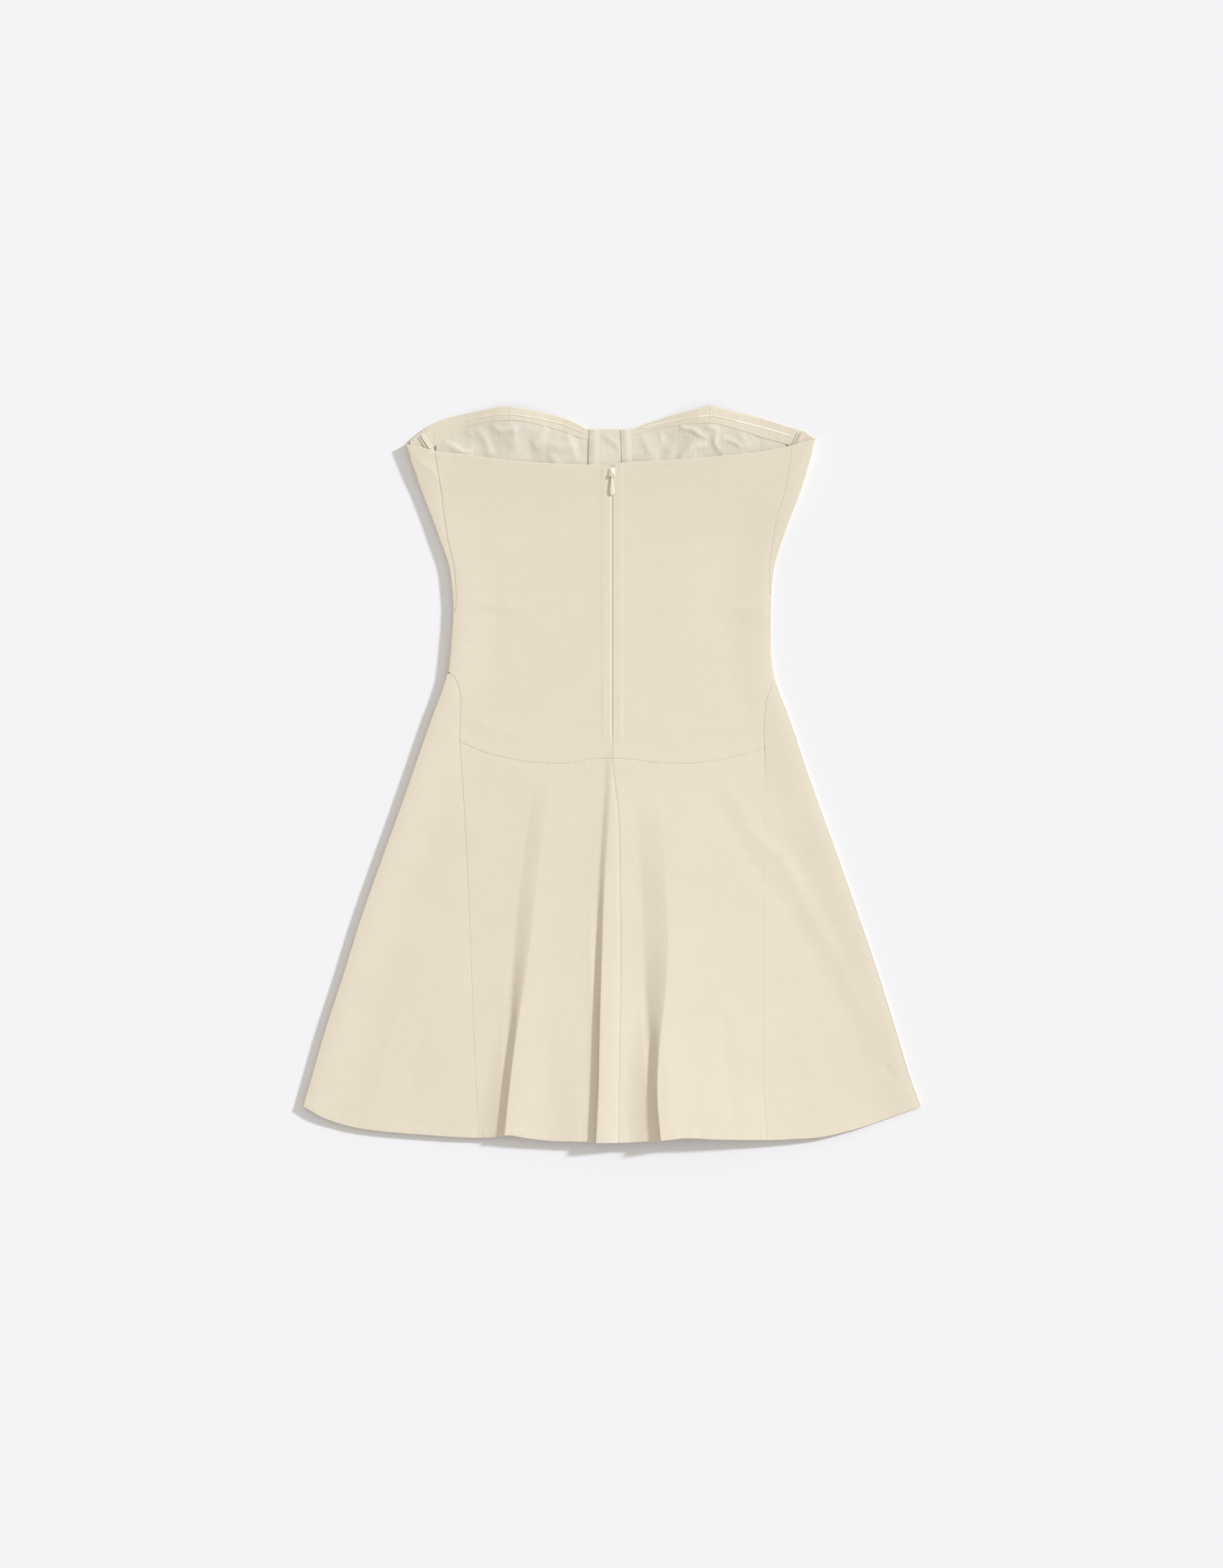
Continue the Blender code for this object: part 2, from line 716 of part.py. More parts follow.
def make_skirt_back(side):
    seam = gore_seam[side]
    centre = centre_seam
    if side == "left":
        a, b = FOLD_LINES["fold_a"], FOLD_LINES["fold_b"]
        shift = lambda line, d: (lambda y: line(y) + d)
        guides = [seam, shift(a, -17), shift(a, -8), shift(a, -2.8), a, shift(a, 5)]
        counts = [4, 1, 1, 1, 1]
        guides += [shift(b, -18), shift(b, -9), shift(b, -2.6), b, centre]
        counts += [3, 1, 1, 1, 1]
    else:
        c = FOLD_LINES["fold_c"]
        shift = lambda line, d: (lambda y: line(y) + d)
        guides = [centre, shift(c, -24), shift(c, -15), shift(c, -7), shift(c, -3), c, shift(c, 6), seam]
        counts = [2, 1, 1, 1, 1, 1, 5]
    columns = fan(guides, counts)
    heights = rows_between(
        columns,
        lambda x, y: x,
        lambda x, q: hem(x),
        lambda x, q: drop_waist(x),
        SKIRT_SHARES,
        -355.0,
        15.0,
    )
    cloth(
        f"skirt_back_{side}",
        columns,
        heights,
        back_point,
        1,
        seams="lrt",
        inset={"t": JOIN_HALF},
    )


def make_skirt_side(side):
    """The gore: from its seam on the front, round the side edge, to its seam on the back."""
    point = GORE_POINT[side]
    back = lambda y: wrap_q(side, gore_seam[side](y), y)
    shares = [-1.0, -0.72, -0.45, -0.2]
    stops = [-LOOP_ARC, -1.6, 0.0, 1.6, LOOP_ARC]

    def at_share(share):
        return lambda y: share * width(y)

    def width(y):
        full = back(y) if y < point - 6.0 else None
        near = ramp(point + 0.8 - y, 0.0, 6.0)
        reach = wrap_q(side, gore_seam[side](y), y)
        return max(0.9, lerp(0.9, reach, near) if full is None else full)

    def at_stop(stop):
        def at(y):
            share = stop / LOOP_ARC * 0.16
            size = min(abs(stop), abs(share) * width(y)) if width(y) < 20 else abs(stop)
            return math.copysign(size, stop) if stop else 0.0

        return at

    columns = [at_share(s) for s in shares] + [at_stop(s) for s in stops] + [at_share(-s) for s in shares[::-1]]

    def low(x, q):
        up = FRONT_HEM_UP * ramp(-q, 0.0, 12.0)
        return hem(x) + up

    heights = []
    seam_low = settle(lambda y: hem(gore_seam[side](y)), -358.0)
    foot, top = JOIN_Y[side], SEAM_TOP[side]
    stations = [lerp(seam_low, foot, share) for share in SKIRT_SHARES]
    stations += [lerp(foot, top, share) for share in bodice_shares(side)[1:4]]
    stations.append(point - 2.8)
    fractions = [(y - seam_low) / (stations[-1] - seam_low) for y in stations]
    for at in columns:
        start = settle(lambda y: low(wrap_x(side, at(y), y), at(y)), -345.0)
        heights.append([lerp(start, stations[-1], share) for share in fractions])
    if side == "right":
        columns, heights = columns[::-1], heights[::-1]
    cloth(
        f"skirt_side_{side}",
        columns,
        heights,
        lambda q, y: wrap_point(side, q, y),
        INWARD[side],
        seams="lr",
    )


def make_skirt_front():
    columns = fan([gore_seam["right"], lambda y: -4.0, gore_seam["left"]], [8, 8])
    heights = rows_between(
        columns,
        lambda x, y: x,
        lambda x, q: hem(x) + FRONT_HEM_UP,
        lambda x, q: drop_waist(x),
        SKIRT_SHARES,
        -355.0,
        15.0,
    )
    cloth("skirt_front", columns, heights, front_point, -1, seams="lrt", inset={"t": JOIN_HALF})


# ----------------------------------------------- layers on the front's inside
LAYER_1 = WALL + GAP + 0.25  # facing and lining, above the front's outside
LAYER_2 = LAYER_1 + WALL + GAP  # boning channels and gripper tape


def make_layer(name, from_x, to_x, count, bottom, top, rows, lift, wall=WALL, look="twill", seams="lr"):
    """A layer on the front, its lower side lift above the front's outside."""
    columns = fan([from_x, to_x], [count])
    shares = spaced(0.0, 1.0, rows)
    heights = rows_between(
        columns, lambda x, y: x, lambda x, q: bottom(x), lambda x, q: top(x), shares, 320.0, 345.0
    )
    half = {"l": SEAM_HALF, "r": SEAM_HALF, "b": SEAM_HALF, "t": SEAM_HALF}
    cloth(name, columns, heights, lambda x, y: front_point(x, y, lift), -1, wall, look, seams, half)


def make_strip(name, x_high, y_high, x_low, y_low, width, steps, lift, wall, look):
    """A straight strip on the front, from its upper end to its lower end."""
    start, end = Vector((x_high, y_high)), Vector((x_low, y_low))
    along = (end - start).normalized()
    across = Vector((-along.y, along.x)) * (width / 2)  # points to +X for a strip that runs down
    bm = bmesh.new()
    bmesh.ops.create_grid(bm, x_segments=2, y_segments=steps, size=1.0)
    spots = {}
    for vert in bm.verts:
        spots[vert] = end.lerp(start, (vert.co.y + 1) / 2) - across * vert.co.x
    return walled(name, bm, spots, lambda x, y: front_point(x, y, lift), -1, wall, look)


def lining_foot(x):
    return back_top_edge(x) - LINING_BELOW


def fixed(x):
    return lambda y: x


def make_inside():
    rim = lambda x: neckline(x) - 0.6
    # Facing strips along the neckline, cut at each apex.
    make_layer("facing_outer_left", fixed(-102.0), fixed(-184.0), 7, lambda x: max(facing_edge(x), lining_foot(x)), rim, 1, LAYER_1)
    make_layer("facing_inner_left", fixed(-22.6), fixed(-102.0), 7, facing_edge, rim, 1, LAYER_1)
    make_layer("facing_inner_right", fixed(95.5), fixed(18.3), 7, facing_edge, rim, 1, LAYER_1)
    make_layer("facing_outer_right", fixed(182.0), fixed(95.5), 7, facing_edge, rim, 1, LAYER_1)
    side_low = lambda x: back_top_edge(x) - 5.0
    make_layer("facing_side_left", fixed(-184.0), fixed(-200.0), 2, side_low, rim, 1, LAYER_1)
    make_layer("facing_side_right", fixed(195.0), fixed(182.0), 2, side_low, rim, 1, LAYER_1)
    # Satin lining under the facing, cut at each apex, and the bridge between the cups.
    below = lambda x: facing_edge(x) - 2 * SEAM_HALF
    make_layer("lining_outer_left", fixed(-101.0), fixed(-172.0), 6, lining_foot, below, 2, LAYER_1, look="satin")
    make_layer("lining_inner_left", fixed(-22.6), fixed(-101.0), 6, lining_foot, below, 3, LAYER_1, look="satin")
    make_layer("lining_bridge", fixed(18.3), fixed(-22.6), 4, lining_foot, rim, 3, LAYER_1, look="satin")
    make_layer("lining_inner_right", fixed(95.0), fixed(18.3), 6, lining_foot, below, 3, LAYER_1, look="satin")
    make_layer("lining_outer_right", fixed(170.0), fixed(95.0), 6, lining_foot, below, 2, LAYER_1, look="satin")
    # Boning channels on the seams.
    make_strip("bone_channel_centre_left", -17.6, 341.0, -18.9, 296.0, BONE_WIDTH, 4, LAYER_2, WALL, "satin")
    make_strip("bone_channel_centre_right", 13.4, 341.0, 14.9, 297.5, BONE_WIDTH, 4, LAYER_2, WALL, "satin")
    make_strip("bone_channel_side_left", -189.2, 335.2, -177.0, 316.0, SIDE_BONE_WIDTH, 2, LAYER_2, WALL, "twill")
    make_strip("bone_channel_side_right", 186.6, 337.5, 179.0, 320.5, SIDE_BONE_WIDTH, 2, LAYER_2, WALL, "twill")
    # Gripper tape along the facing's middle.
    for name, start, end in (("gripper_tape_left", -176.0, -30.0), ("gripper_tape_right", 30.0, 176.0)):
        middle = lambda x: lerp(facing_edge(x), neckline(x), 0.45)
        make_layer(
            name,
            fixed(max(start, end)),
            fixed(min(start, end)),
            16,
            lambda x: middle(x) - GRIPPER_WIDTH / 2,
            lambda x: middle(x) + GRIPPER_WIDTH / 2,
            1,
            LAYER_2,
            GRIPPER_THICK,
            "gripper",
            "",
        )


# ------------------------------------------------------------------------ zip
SLIDER_TOP = 303.0  # y
SLIDER_LENGTH = 6.2
SLIDER_THICK = 1.1
EAR_OUT = 1.9  # x of each ear's middle from the zip's line
EAR_THICK = 0.9
TAB_LENGTH = 19.0  # from the pin's axis to the tip
TAB_WIDTH = 4.8
TAB_NECK = 2.0
TAB_THICK = 1.0
PIN_RADIUS = 0.45
EYE_GAP = 0.28
HUB_RADIUS = 1.25
HINGE_Y = 294.6


def solid_from(name, bm, look, smooth=True):
    mesh = bpy.data.meshes.new(name)
    bm.normal_update()
    if bm.calc_volume(signed=True) < 0:
        bmesh.ops.reverse_faces(bm, faces=bm.faces)
    bm.to_mesh(mesh)
    bm.free()
    if smooth:
        mesh.shade_smooth()
        mesh.set_sharp_from_angle(angle=math.radians(35))
    mesh.materials.append(MATERIALS[look])
    piece = bpy.data.objects.new(name, mesh)
    parts.objects.link(piece)
    return piece


def slider_floor():
    """The slider rests this high, just off the two back pieces."""
    return back_height(CENTRE_BACK, SLIDER_TOP) + GAP


def hinge_height():
    return slider_floor() + HUB_RADIUS + 0.1


def make_zip_tape():
    """Tape behind the two back pieces, with the coil's place along its middle."""
    top_y = 303.0
    stations = spaced(ZIP_FOOT - 6.0, top_y, 12)
    bm = bmesh.new()
    bmesh.ops.create_grid(bm, x_segments=2, y_segments=len(stations) - 1, size=1.0)
    spots = {}
    for vert in bm.verts:
        j = round((vert.co.y + 1) / 2 * (len(stations) - 1))
        spots[vert] = Vector((CENTRE_BACK + vert.co.x * ZIP_TAPE_HALF, stations[j]))
    place = lambda x, y: (x, y, back_height(CENTRE_BACK, y) - WALL - GAP - 0.05)
    walled("zip_tape", bm, spots, place, 1, WALL, "tape")


def box(bm, low, high):
    made = bmesh.ops.create_cube(bm, size=1.0)
    centre = [(a + b) / 2 * MM for a, b in zip(low, high)]
    size = [(b - a) * MM for a, b in zip(low, high)]
    for vert in made["verts"]:
        vert.co = Vector([c + s * v for c, s, v in zip(centre, size, vert.co)])
    return made["verts"]


def make_zip_slider():
    """A low block on the closed slit. Two ears below it hold the tab's pin."""
    floor, z = slider_floor(), hinge_height()
    low_y = SLIDER_TOP - SLIDER_LENGTH
    half = EAR_OUT + EAR_THICK / 2 + 0.5
    bm = bmesh.new()
    verts = box(bm, (CENTRE_BACK - half, low_y, floor), (CENTRE_BACK + half, SLIDER_TOP, floor + SLIDER_THICK))
    for vert in verts:
        if vert.co.y > (SLIDER_TOP - 0.1) * MM:
            vert.co.x = lerp(CENTRE_BACK * MM, vert.co.x, 0.8)
    body = solid_from("zip_slider", bm, "slider")
    bevel = body.modifiers.new("edge", "BEVEL")
    bevel.width = 0.3 * MM
    bevel.segments = 1
    for side, sign in (("l", -1), ("r", 1)):
        ear = bmesh.new()
        x = CENTRE_BACK + sign * EAR_OUT
        box(
            ear,
            (x - EAR_THICK / 2, HINGE_Y - 0.9, floor + 0.2),
            (x + EAR_THICK / 2, low_y + 1.6, z + 0.75),
        )
        join(body, solid_from(f"slider_ear_{side}", ear, "slider"))
    join(body, round_bar("slider_pin", PIN_RADIUS, 2 * EAR_OUT + 0.4, 12))


def round_bar(name, radius, length, sides):
    """A bar along X on the tab's hinge axis."""
    bm = bmesh.new()
    made = bmesh.ops.create_cone(
        bm, cap_ends=True, segments=sides, radius1=radius * MM, radius2=radius * MM, depth=length * MM
    )
    for vert in made["verts"]:
        x, y, z = vert.co
        vert.co = Vector((z + CENTRE_BACK * MM, y + HINGE_Y * MM, hinge_height() * MM - x))
    return solid_from(name, bm, "slider")


def put_away(helper):
    parts.objects.unlink(helper)
    cutters.objects.link(helper)
    helper.hide_render = True
    helper.display_type = "WIRE"


def join(body, helper):
    put_away(helper)
    union = body.modifiers.new(f"join {helper.name}", "BOOLEAN")
    union.operation = "UNION"
    union.object = helper


def make_zip_pull():
    """Teardrop tab: an eye round the pin, and a blade that widens and ends round."""
    z = hinge_height()
    low = z - HUB_RADIUS
    outline = []
    steps = 14
    for i in range(steps):
        t = i / steps
        half = lerp(TAB_NECK / 2, TAB_WIDTH / 2, ramp(t, 0.12, 0.72))
        if t > 0.78:
            half *= math.sqrt(1 - ((t - 0.78) / 0.22) ** 2)
        outline.append((half, -TAB_LENGTH * t))
    loop = [(-half, y) for half, y in outline] + [(0.0, -TAB_LENGTH)] + outline[::-1]
    bm = bmesh.new()
    face = bm.faces.new([bm.verts.new(Vector((CENTRE_BACK + x, HINGE_Y + y, low)) * MM) for x, y in loop])
    made = bmesh.ops.extrude_face_region(bm, geom=[face])
    for item in made["geom"]:
        if isinstance(item, bmesh.types.BMVert):
            item.co.z += TAB_THICK * MM
    tab = solid_from("zip_pull", bm, "slider")
    join(tab, round_bar("pull_hub", HUB_RADIUS, 2.1, 16))
    cutter = round_bar("pull_bore", PIN_RADIUS + EYE_GAP, 8.0, 16)
    put_away(cutter)
    cut = tab.modifiers.new("eye", "BOOLEAN")
    cut.operation = "DIFFERENCE"
    cut.object = cutter
    # Its origin goes onto the pin's axis.
    origin = Vector((CENTRE_BACK, HINGE_Y, z)) * MM
    for vert in tab.data.vertices:
        vert.co -= origin
    tab.location = origin


cutters = bpy.data.collections.new("cutters")
bpy.context.scene.collection.children.link(cutters)

for _side in ("left", "right"):
    make_bodice_back(_side)
    make_bodice_side(_side)
    make_skirt_back(_side)
    make_skirt_side(_side)
make_front("bodice_front_outer_left", front_seam["apex_left"], front_seam["side_left"], 4)
make_front("bodice_front_inner_left", front_seam["centre_left"], front_seam["apex_left"], 5)
make_front("bodice_front_centre", front_seam["centre_right"], front_seam["centre_left"], 3)
make_front("bodice_front_inner_right", front_seam["apex_right"], front_seam["centre_right"], 5)
make_front("bodice_front_outer_right", front_seam["side_right"], front_seam["apex_right"], 4)
make_skirt_front()
make_inside()
make_zip_tape()
make_zip_slider()
make_zip_pull()
bpy.context.view_layer.update()
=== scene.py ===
import math

import bmesh
import bpy
import numpy as np
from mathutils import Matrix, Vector


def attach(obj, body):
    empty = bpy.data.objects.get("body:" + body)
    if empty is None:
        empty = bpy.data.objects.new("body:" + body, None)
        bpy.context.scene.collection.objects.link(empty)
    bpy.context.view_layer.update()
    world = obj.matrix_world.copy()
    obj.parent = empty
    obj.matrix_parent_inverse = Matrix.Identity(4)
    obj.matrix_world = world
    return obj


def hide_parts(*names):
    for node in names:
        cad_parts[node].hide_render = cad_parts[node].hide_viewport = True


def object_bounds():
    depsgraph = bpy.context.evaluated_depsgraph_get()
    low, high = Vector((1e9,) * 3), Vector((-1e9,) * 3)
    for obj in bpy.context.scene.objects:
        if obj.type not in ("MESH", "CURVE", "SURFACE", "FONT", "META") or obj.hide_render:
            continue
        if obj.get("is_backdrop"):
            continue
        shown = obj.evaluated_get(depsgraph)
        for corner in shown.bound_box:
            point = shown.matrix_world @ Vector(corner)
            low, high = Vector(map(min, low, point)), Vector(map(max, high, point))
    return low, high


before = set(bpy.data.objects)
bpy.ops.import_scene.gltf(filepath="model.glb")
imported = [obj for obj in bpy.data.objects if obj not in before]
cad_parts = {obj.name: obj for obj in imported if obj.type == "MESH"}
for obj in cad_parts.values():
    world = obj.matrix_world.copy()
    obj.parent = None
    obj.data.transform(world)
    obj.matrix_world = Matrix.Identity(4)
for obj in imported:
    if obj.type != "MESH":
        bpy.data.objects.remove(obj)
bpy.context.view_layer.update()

# Strapless mini dress lying flat on its front, back up. Millimetres in the
# tables, metres in the meshes. The forms are the solids' own: the same curves,
# heights and folds, on finer grids, with seams, creases and sewn detail.
MM = 0.001

# ---------------------------------------------------------------- sizes, mm
WALL = 1.0  # cloth wall
GAP = 0.3  # between layers that lie on each other
SEAM_HALF = 0.2  # each piece stops this far from its seam line
EDGE_SEAM_HALF = 0.5  # the same at the seams that run along the side edges
JOIN_HALF = 0.3  # the same at the drop-waist seam
LOOP_DEPTH = 2.2  # how far in from the side edge its fold begins
LOOP_ARC = 3.2  # surface length from the edge's outermost line to that point
FRONT_HEM_UP = 1.5  # the front hem lies this far above the back hem
CENTRE_BACK = -0.4  # x of the closed zip
ZIP_FOOT = 33.0  # y where the zip ends
ZIP_HEAD = 294.5  # y of the slider's lower end
ZIP_TAPE_HALF = 8.0
LINING_BELOW = 12.0  # the lining goes on this far below the back's top edge
BONE_WIDTH = 9.6
SIDE_BONE_WIDTH = 7.0
GRIPPER_WIDTH = 2.4
GRIPPER_THICK = 0.7

# Side edges: the flat outline, left and right, from hem corner to underarm.
OUTLINE = [
    # name,          y,      left,   right
    ("hem corner", -328.4, -305.7, 305.7),
    ("hem band", -299.0, -297.2, 295.0),
    ("lower skirt", -256.7, -285.1, 282.2),
    ("skirt 5", -199.9, -266.6, 264.5),
    ("skirt 4", -143.1, -248.9, 245.3),
    ("skirt 3", -86.3, -229.0, 225.4),
    ("skirt 2", -29.5, -208.4, 204.8),
    ("skirt 1", 13.1, -193.5, 189.9),
    ("upper skirt", 55.7, -178.6, 175.7),
    ("gore point", 84.1, -167.9, 164.6),
    ("high hip", 101.9, -163.0, 160.1),
    ("below waist", 126.7, -160.1, 157.5),
    ("waist", 162.2, -157.4, 157.2),
    ("above waist", 197.7, -160.1, 159.4),
    ("ribs", 240.3, -173.6, 171.5),
    ("under bust", 282.9, -189.9, 187.8),
    ("bust", 311.3, -199.9, 196.3),
    ("corner", 326.0, -204.5, 199.9),
    ("over corner", 336.0, -207.0, 202.6),
]

# Sweetheart neckline of the front, the upper outline.
NECKLINE = [
    # name,             x,      y
    ("left corner", -204.5, 326.0),
    ("left shoulder", -193.0, 336.2),
    ("left rise", -180.0, 345.4),
    ("left crest", -160.0, 353.3),
    ("left outer cup", -126.7, 360.3),
    ("left apex", -104.0, 363.9),
    ("left inner cup", -81.3, 360.7),
    ("left fall", -59.3, 356.1),
    ("left dip", -39.4, 349.7),
    ("bridge left", -22.4, 341.7),
    ("bridge right", 18.1, 341.7),
    ("right dip", 30.9, 346.1),
    ("right fall", 58.0, 354.6),
    ("right inner cup", 82.0, 361.0),
    ("right apex", 95.5, 364.6),
    ("right outer cup", 114.7, 360.3),
    ("right crest", 150.0, 351.8),
    ("right rise", 182.1, 341.9),
    ("right shoulder", 189.2, 340.0),
    ("right corner", 201.0, 331.8),
]

# Lower edge of the neckline facing, inside the front.
FACING_EDGE = [
    # name,           x,      y
    ("left end", -186.0, 319.0),
    ("left low", -175.7, 324.5),
    ("left rise", -160.1, 336.6),
    ("left outer", -137.4, 345.4),
    ("left apex", -101.2, 350.0),
    ("left inner", -81.3, 347.5),
    ("left fall", -52.0, 340.0),
    ("left bridge", -22.4, 331.2),
    ("right bridge", 18.1, 335.0),
    ("right fall", 45.0, 342.2),
    ("right inner", 75.6, 346.1),
    ("right apex", 96.0, 347.2),
    ("right outer", 126.0, 340.4),
    ("right rise", 150.0, 332.5),
    ("right low", 176.8, 324.8),
    ("right end", 186.0, 321.0),
]

# Top edge of the back; the two halves part a little at the open zip end.
BACK_TOP = [
    # name,           x,      y
    ("left corner", -204.5, 326.0),
    ("left side", -192.8, 324.4),
    ("left seam", -175.7, 319.9),
    ("left outer", -140.9, 315.6),
    ("left middle", -97.6, 309.9),
    ("left inner", -55.0, 307.1),
    ("left zip", -3.2, 305.7),
    ("right zip", 2.5, 307.1),
    ("right inner", 27.3, 309.2),
    ("right middle", 81.0, 312.6),
    ("right outer", 136.0, 317.7),
    ("right seam", 173.6, 324.4),
    ("right side", 186.7, 328.0),
    ("right corner", 201.0, 331.8),
]

# Drop-waist seam, the same on back and front.
DROP_WAIST = [
    # name,          x,      y
    ("left end", -150.5, 31.9),
    ("left turn", -127.4, 21.7),
    ("left outer", -105.0, 15.7),
    ("left low", -70.6, 11.0),
    ("left inner", -45.0, 10.6),
    ("centre left", -14.6, 15.3),
    ("centre", 0.0, 15.6),
    ("centre right", 18.8, 14.6),
    ("right inner", 45.0, 11.0),
    ("right low", 76.0, 10.6),
    ("right outer", 108.3, 14.6),
    ("right turn", 132.0, 20.4),
    ("right end", 150.2, 26.9),
]

# Hem of the back and of the side gores.
HEM = [
    # name,          x,       y
    ("left corner", -305.7, -328.4),
    ("left curve", -283.0, -341.0),
    ("left side", -247.4, -350.7),
    ("left gore", -190.6, -356.4),
    ("left seam", -131.7, -359.6),
    ("fold a foot", -112.0, -358.7),
    ("fold a lip", -102.6, -356.8),
    ("between 1", -84.0, -359.8),
    ("between 2", -56.0, -362.7),
    ("fold b foot", -30.0, -363.2),
    ("fold b lip", -16.0, -364.3),
    ("centre", 6.7, -364.2),
    ("fold c foot", 40.0, -362.4),
    ("fold c lip", 52.0, -361.6),
    ("right 1", 72.0, -359.4),
    ("right 2", 107.6, -361.0),
    ("right seam", 153.0, -361.6),
    ("right gore", 200.0, -359.6),
    ("right side", 235.4, -352.5),
    ("right curve", 270.0, -341.4),
    ("right corner", 305.7, -328.4),
]

# Seam between the bodice back and the side piece: q round the side edge.
SIDE_BACK_SEAM = [
    # name,        y,    left q, right q
    ("peak", 101.9, -1.2, -1.2),
    ("below waist", 126.7, -0.6, -0.6),
    ("waist", 155.0, 2.4, 1.8),
    ("above waist", 178.0, 4.4, 3.2),
    ("ribs", 216.0, 6.4, 8.0),
    ("under bust", 250.3, 12.5, 14.3),
    ("bust", 284.4, 21.3, 18.0),
    ("top", 320.0, 27.8, 22.6),
]

# Seam of the skirt's side gore. It climbs to a point at the side edge.
GORE_SEAM = [
    # name,          y,      left,   right
    ("hem", -360.0, -131.7, 153.0),
    ("lower", -302.1, -135.3, 149.7),
    ("middle", -175.0, -140.2, 149.7),
    ("upper", -57.9, -145.2, 149.9),
    ("hip", -5.0, -148.4, 151.6),
    ("join", 29.0, -150.5, 150.2),
    ("join top", 45.1, -150.6, 149.8),
    ("shoulder", 70.0, -149.8, 151.6),
    ("turn", 87.0, -152.1, 157.0),
    ("near point", 96.5, -156.6, 162.0),
]
GORE_POINT = {"left": 101.9, "right": 99.5}  # y of the gore's point

# The skirt's centre back seam, which leans to the right below the zip.
CENTRE_SEAM = [
    # name,         y,      x
    ("drop waist", 15.6, -0.4),
    ("upper", -58.0, 6.6),
    ("middle", -204.0, 7.8),
    ("lower", -278.0, 6.4),
    ("hem", -361.0, 5.9),
]

# Seams of the front, on the underside.
FRONT_SEAMS = [
    # name,         y,    side l, apex l, centre l, centre r, apex r, side r
    ("drop waist", 15.0, -112.0, -97.0, -36.0, 31.0, 90.0, 112.0),
    ("high hip", 101.9, -113.0, -92.0, -32.0, 27.0, 85.0, 112.0),
    ("waist", 162.2, -116.0, -88.0, -28.0, 24.0, 82.0, 115.0),
    ("ribs", 230.0, -136.0, -93.0, -25.0, 21.0, 86.0, 134.0),
    ("bust", 311.3, -176.0, -101.0, -23.0, 19.0, 94.0, 173.0),
    ("neckline", 350.0, -191.0, -104.0, -22.4, 18.1, 95.5, 187.0),
]

# Height of the back's upper side above the surface, without its folds.
BACK_HEIGHT = [
    # name,           y,      edge, middle
    ("hem", -365.0, 5.4, 4.3),
    ("skirt", -150.0, 5.6, 4.4),
    ("drop waist", 15.0, 5.8, 4.7),
    ("waist", 160.0, 6.0, 4.8),
    ("ribs", 235.0, 5.5, 4.7),
    ("under bust", 275.0, 5.2, 5.1),
    ("bust", 300.0, 6.0, 5.9),
    ("top", 335.0, 6.8, 6.6),
]

# Folds of the flared back skirt. To the left of each line the cloth climbs in
# a flank, then over a short lip; to the right it falls slowly to the side edge.
BACK_FOLDS = [
    # name, start y, x of the foot at -20, -130, -230, -300, -362, flank, flank width, lip, lip width, soft width, soft to, sharp from, quick fall
    ("fold_a", 0.0, -79.5, -93.0, -100.0, -104.6, -110.0, 4.0, 30.0, 2.9, 3.4, 16.0, -120.0, -340.0, 0.10),
    ("fold_b", 30.0, -7.9, -13.6, -15.0, -16.0, -18.6, 4.6, 46.0, 4.0, 3.0, 6.5, -60.0, -280.0, 0.18),
    ("fold_c", -20.0, 24.0, 29.8, 34.4, 38.4, 44.4, 6.2, 40.0, 3.6, 4.0, 24.0, -150.0, -345.0, 0.05),
]
FOLD_REACH = {"fold_a": 140.0, "fold_b": 210.0, "fold_c": 300.0}  # how far right each one is felt
FOLD_RUN = [("top", -20.0), ("upper", -130.0), ("middle", -230.0), ("lower", -300.0), ("hem", -362.0)]

# Soft ridges of the front skirt, under the back's folds, and a few in the bodice.
FRONT_RIDGES = [
    # name,      x high, y high, x low, y low, height, half width
    ("left", -60.0, -60.0, -72.0, -380.0, 2.6, 30.0),
    ("centre", 8.0, -40.0, 12.0, -380.0, 5.2, 40.0),
    ("right", 62.0, -30.0, 78.0, -380.0, 7.8, 56.0),
    ("far right", 120.0, -120.0, 152.0, -380.0, 3.6, 50.0),
]

# Domes of the front cups, which lift the neckline off the surface.
CUPS = [
    # name,    x,      y,    height, half x, half y
    ("left", -100.0, 356.0, 3.4, 62.0, 42.0),
    ("right", 92.0, 356.0, 3.0, 62.0, 42.0),
]



# Light and floor: a low key from the right, and pale light from all round.
KEY_ENERGY = 3.96
KEY_COLOR = (0.85, 0.91, 1.0)
KEY_ANGLE = 5.0
KEY_AZIMUTH = 26.6
KEY_ELEVATION = 22.0
AMBIENT = (0.711, 0.680, 0.658)
FLOOR_COLOR = (0.82, 0.82, 0.82)

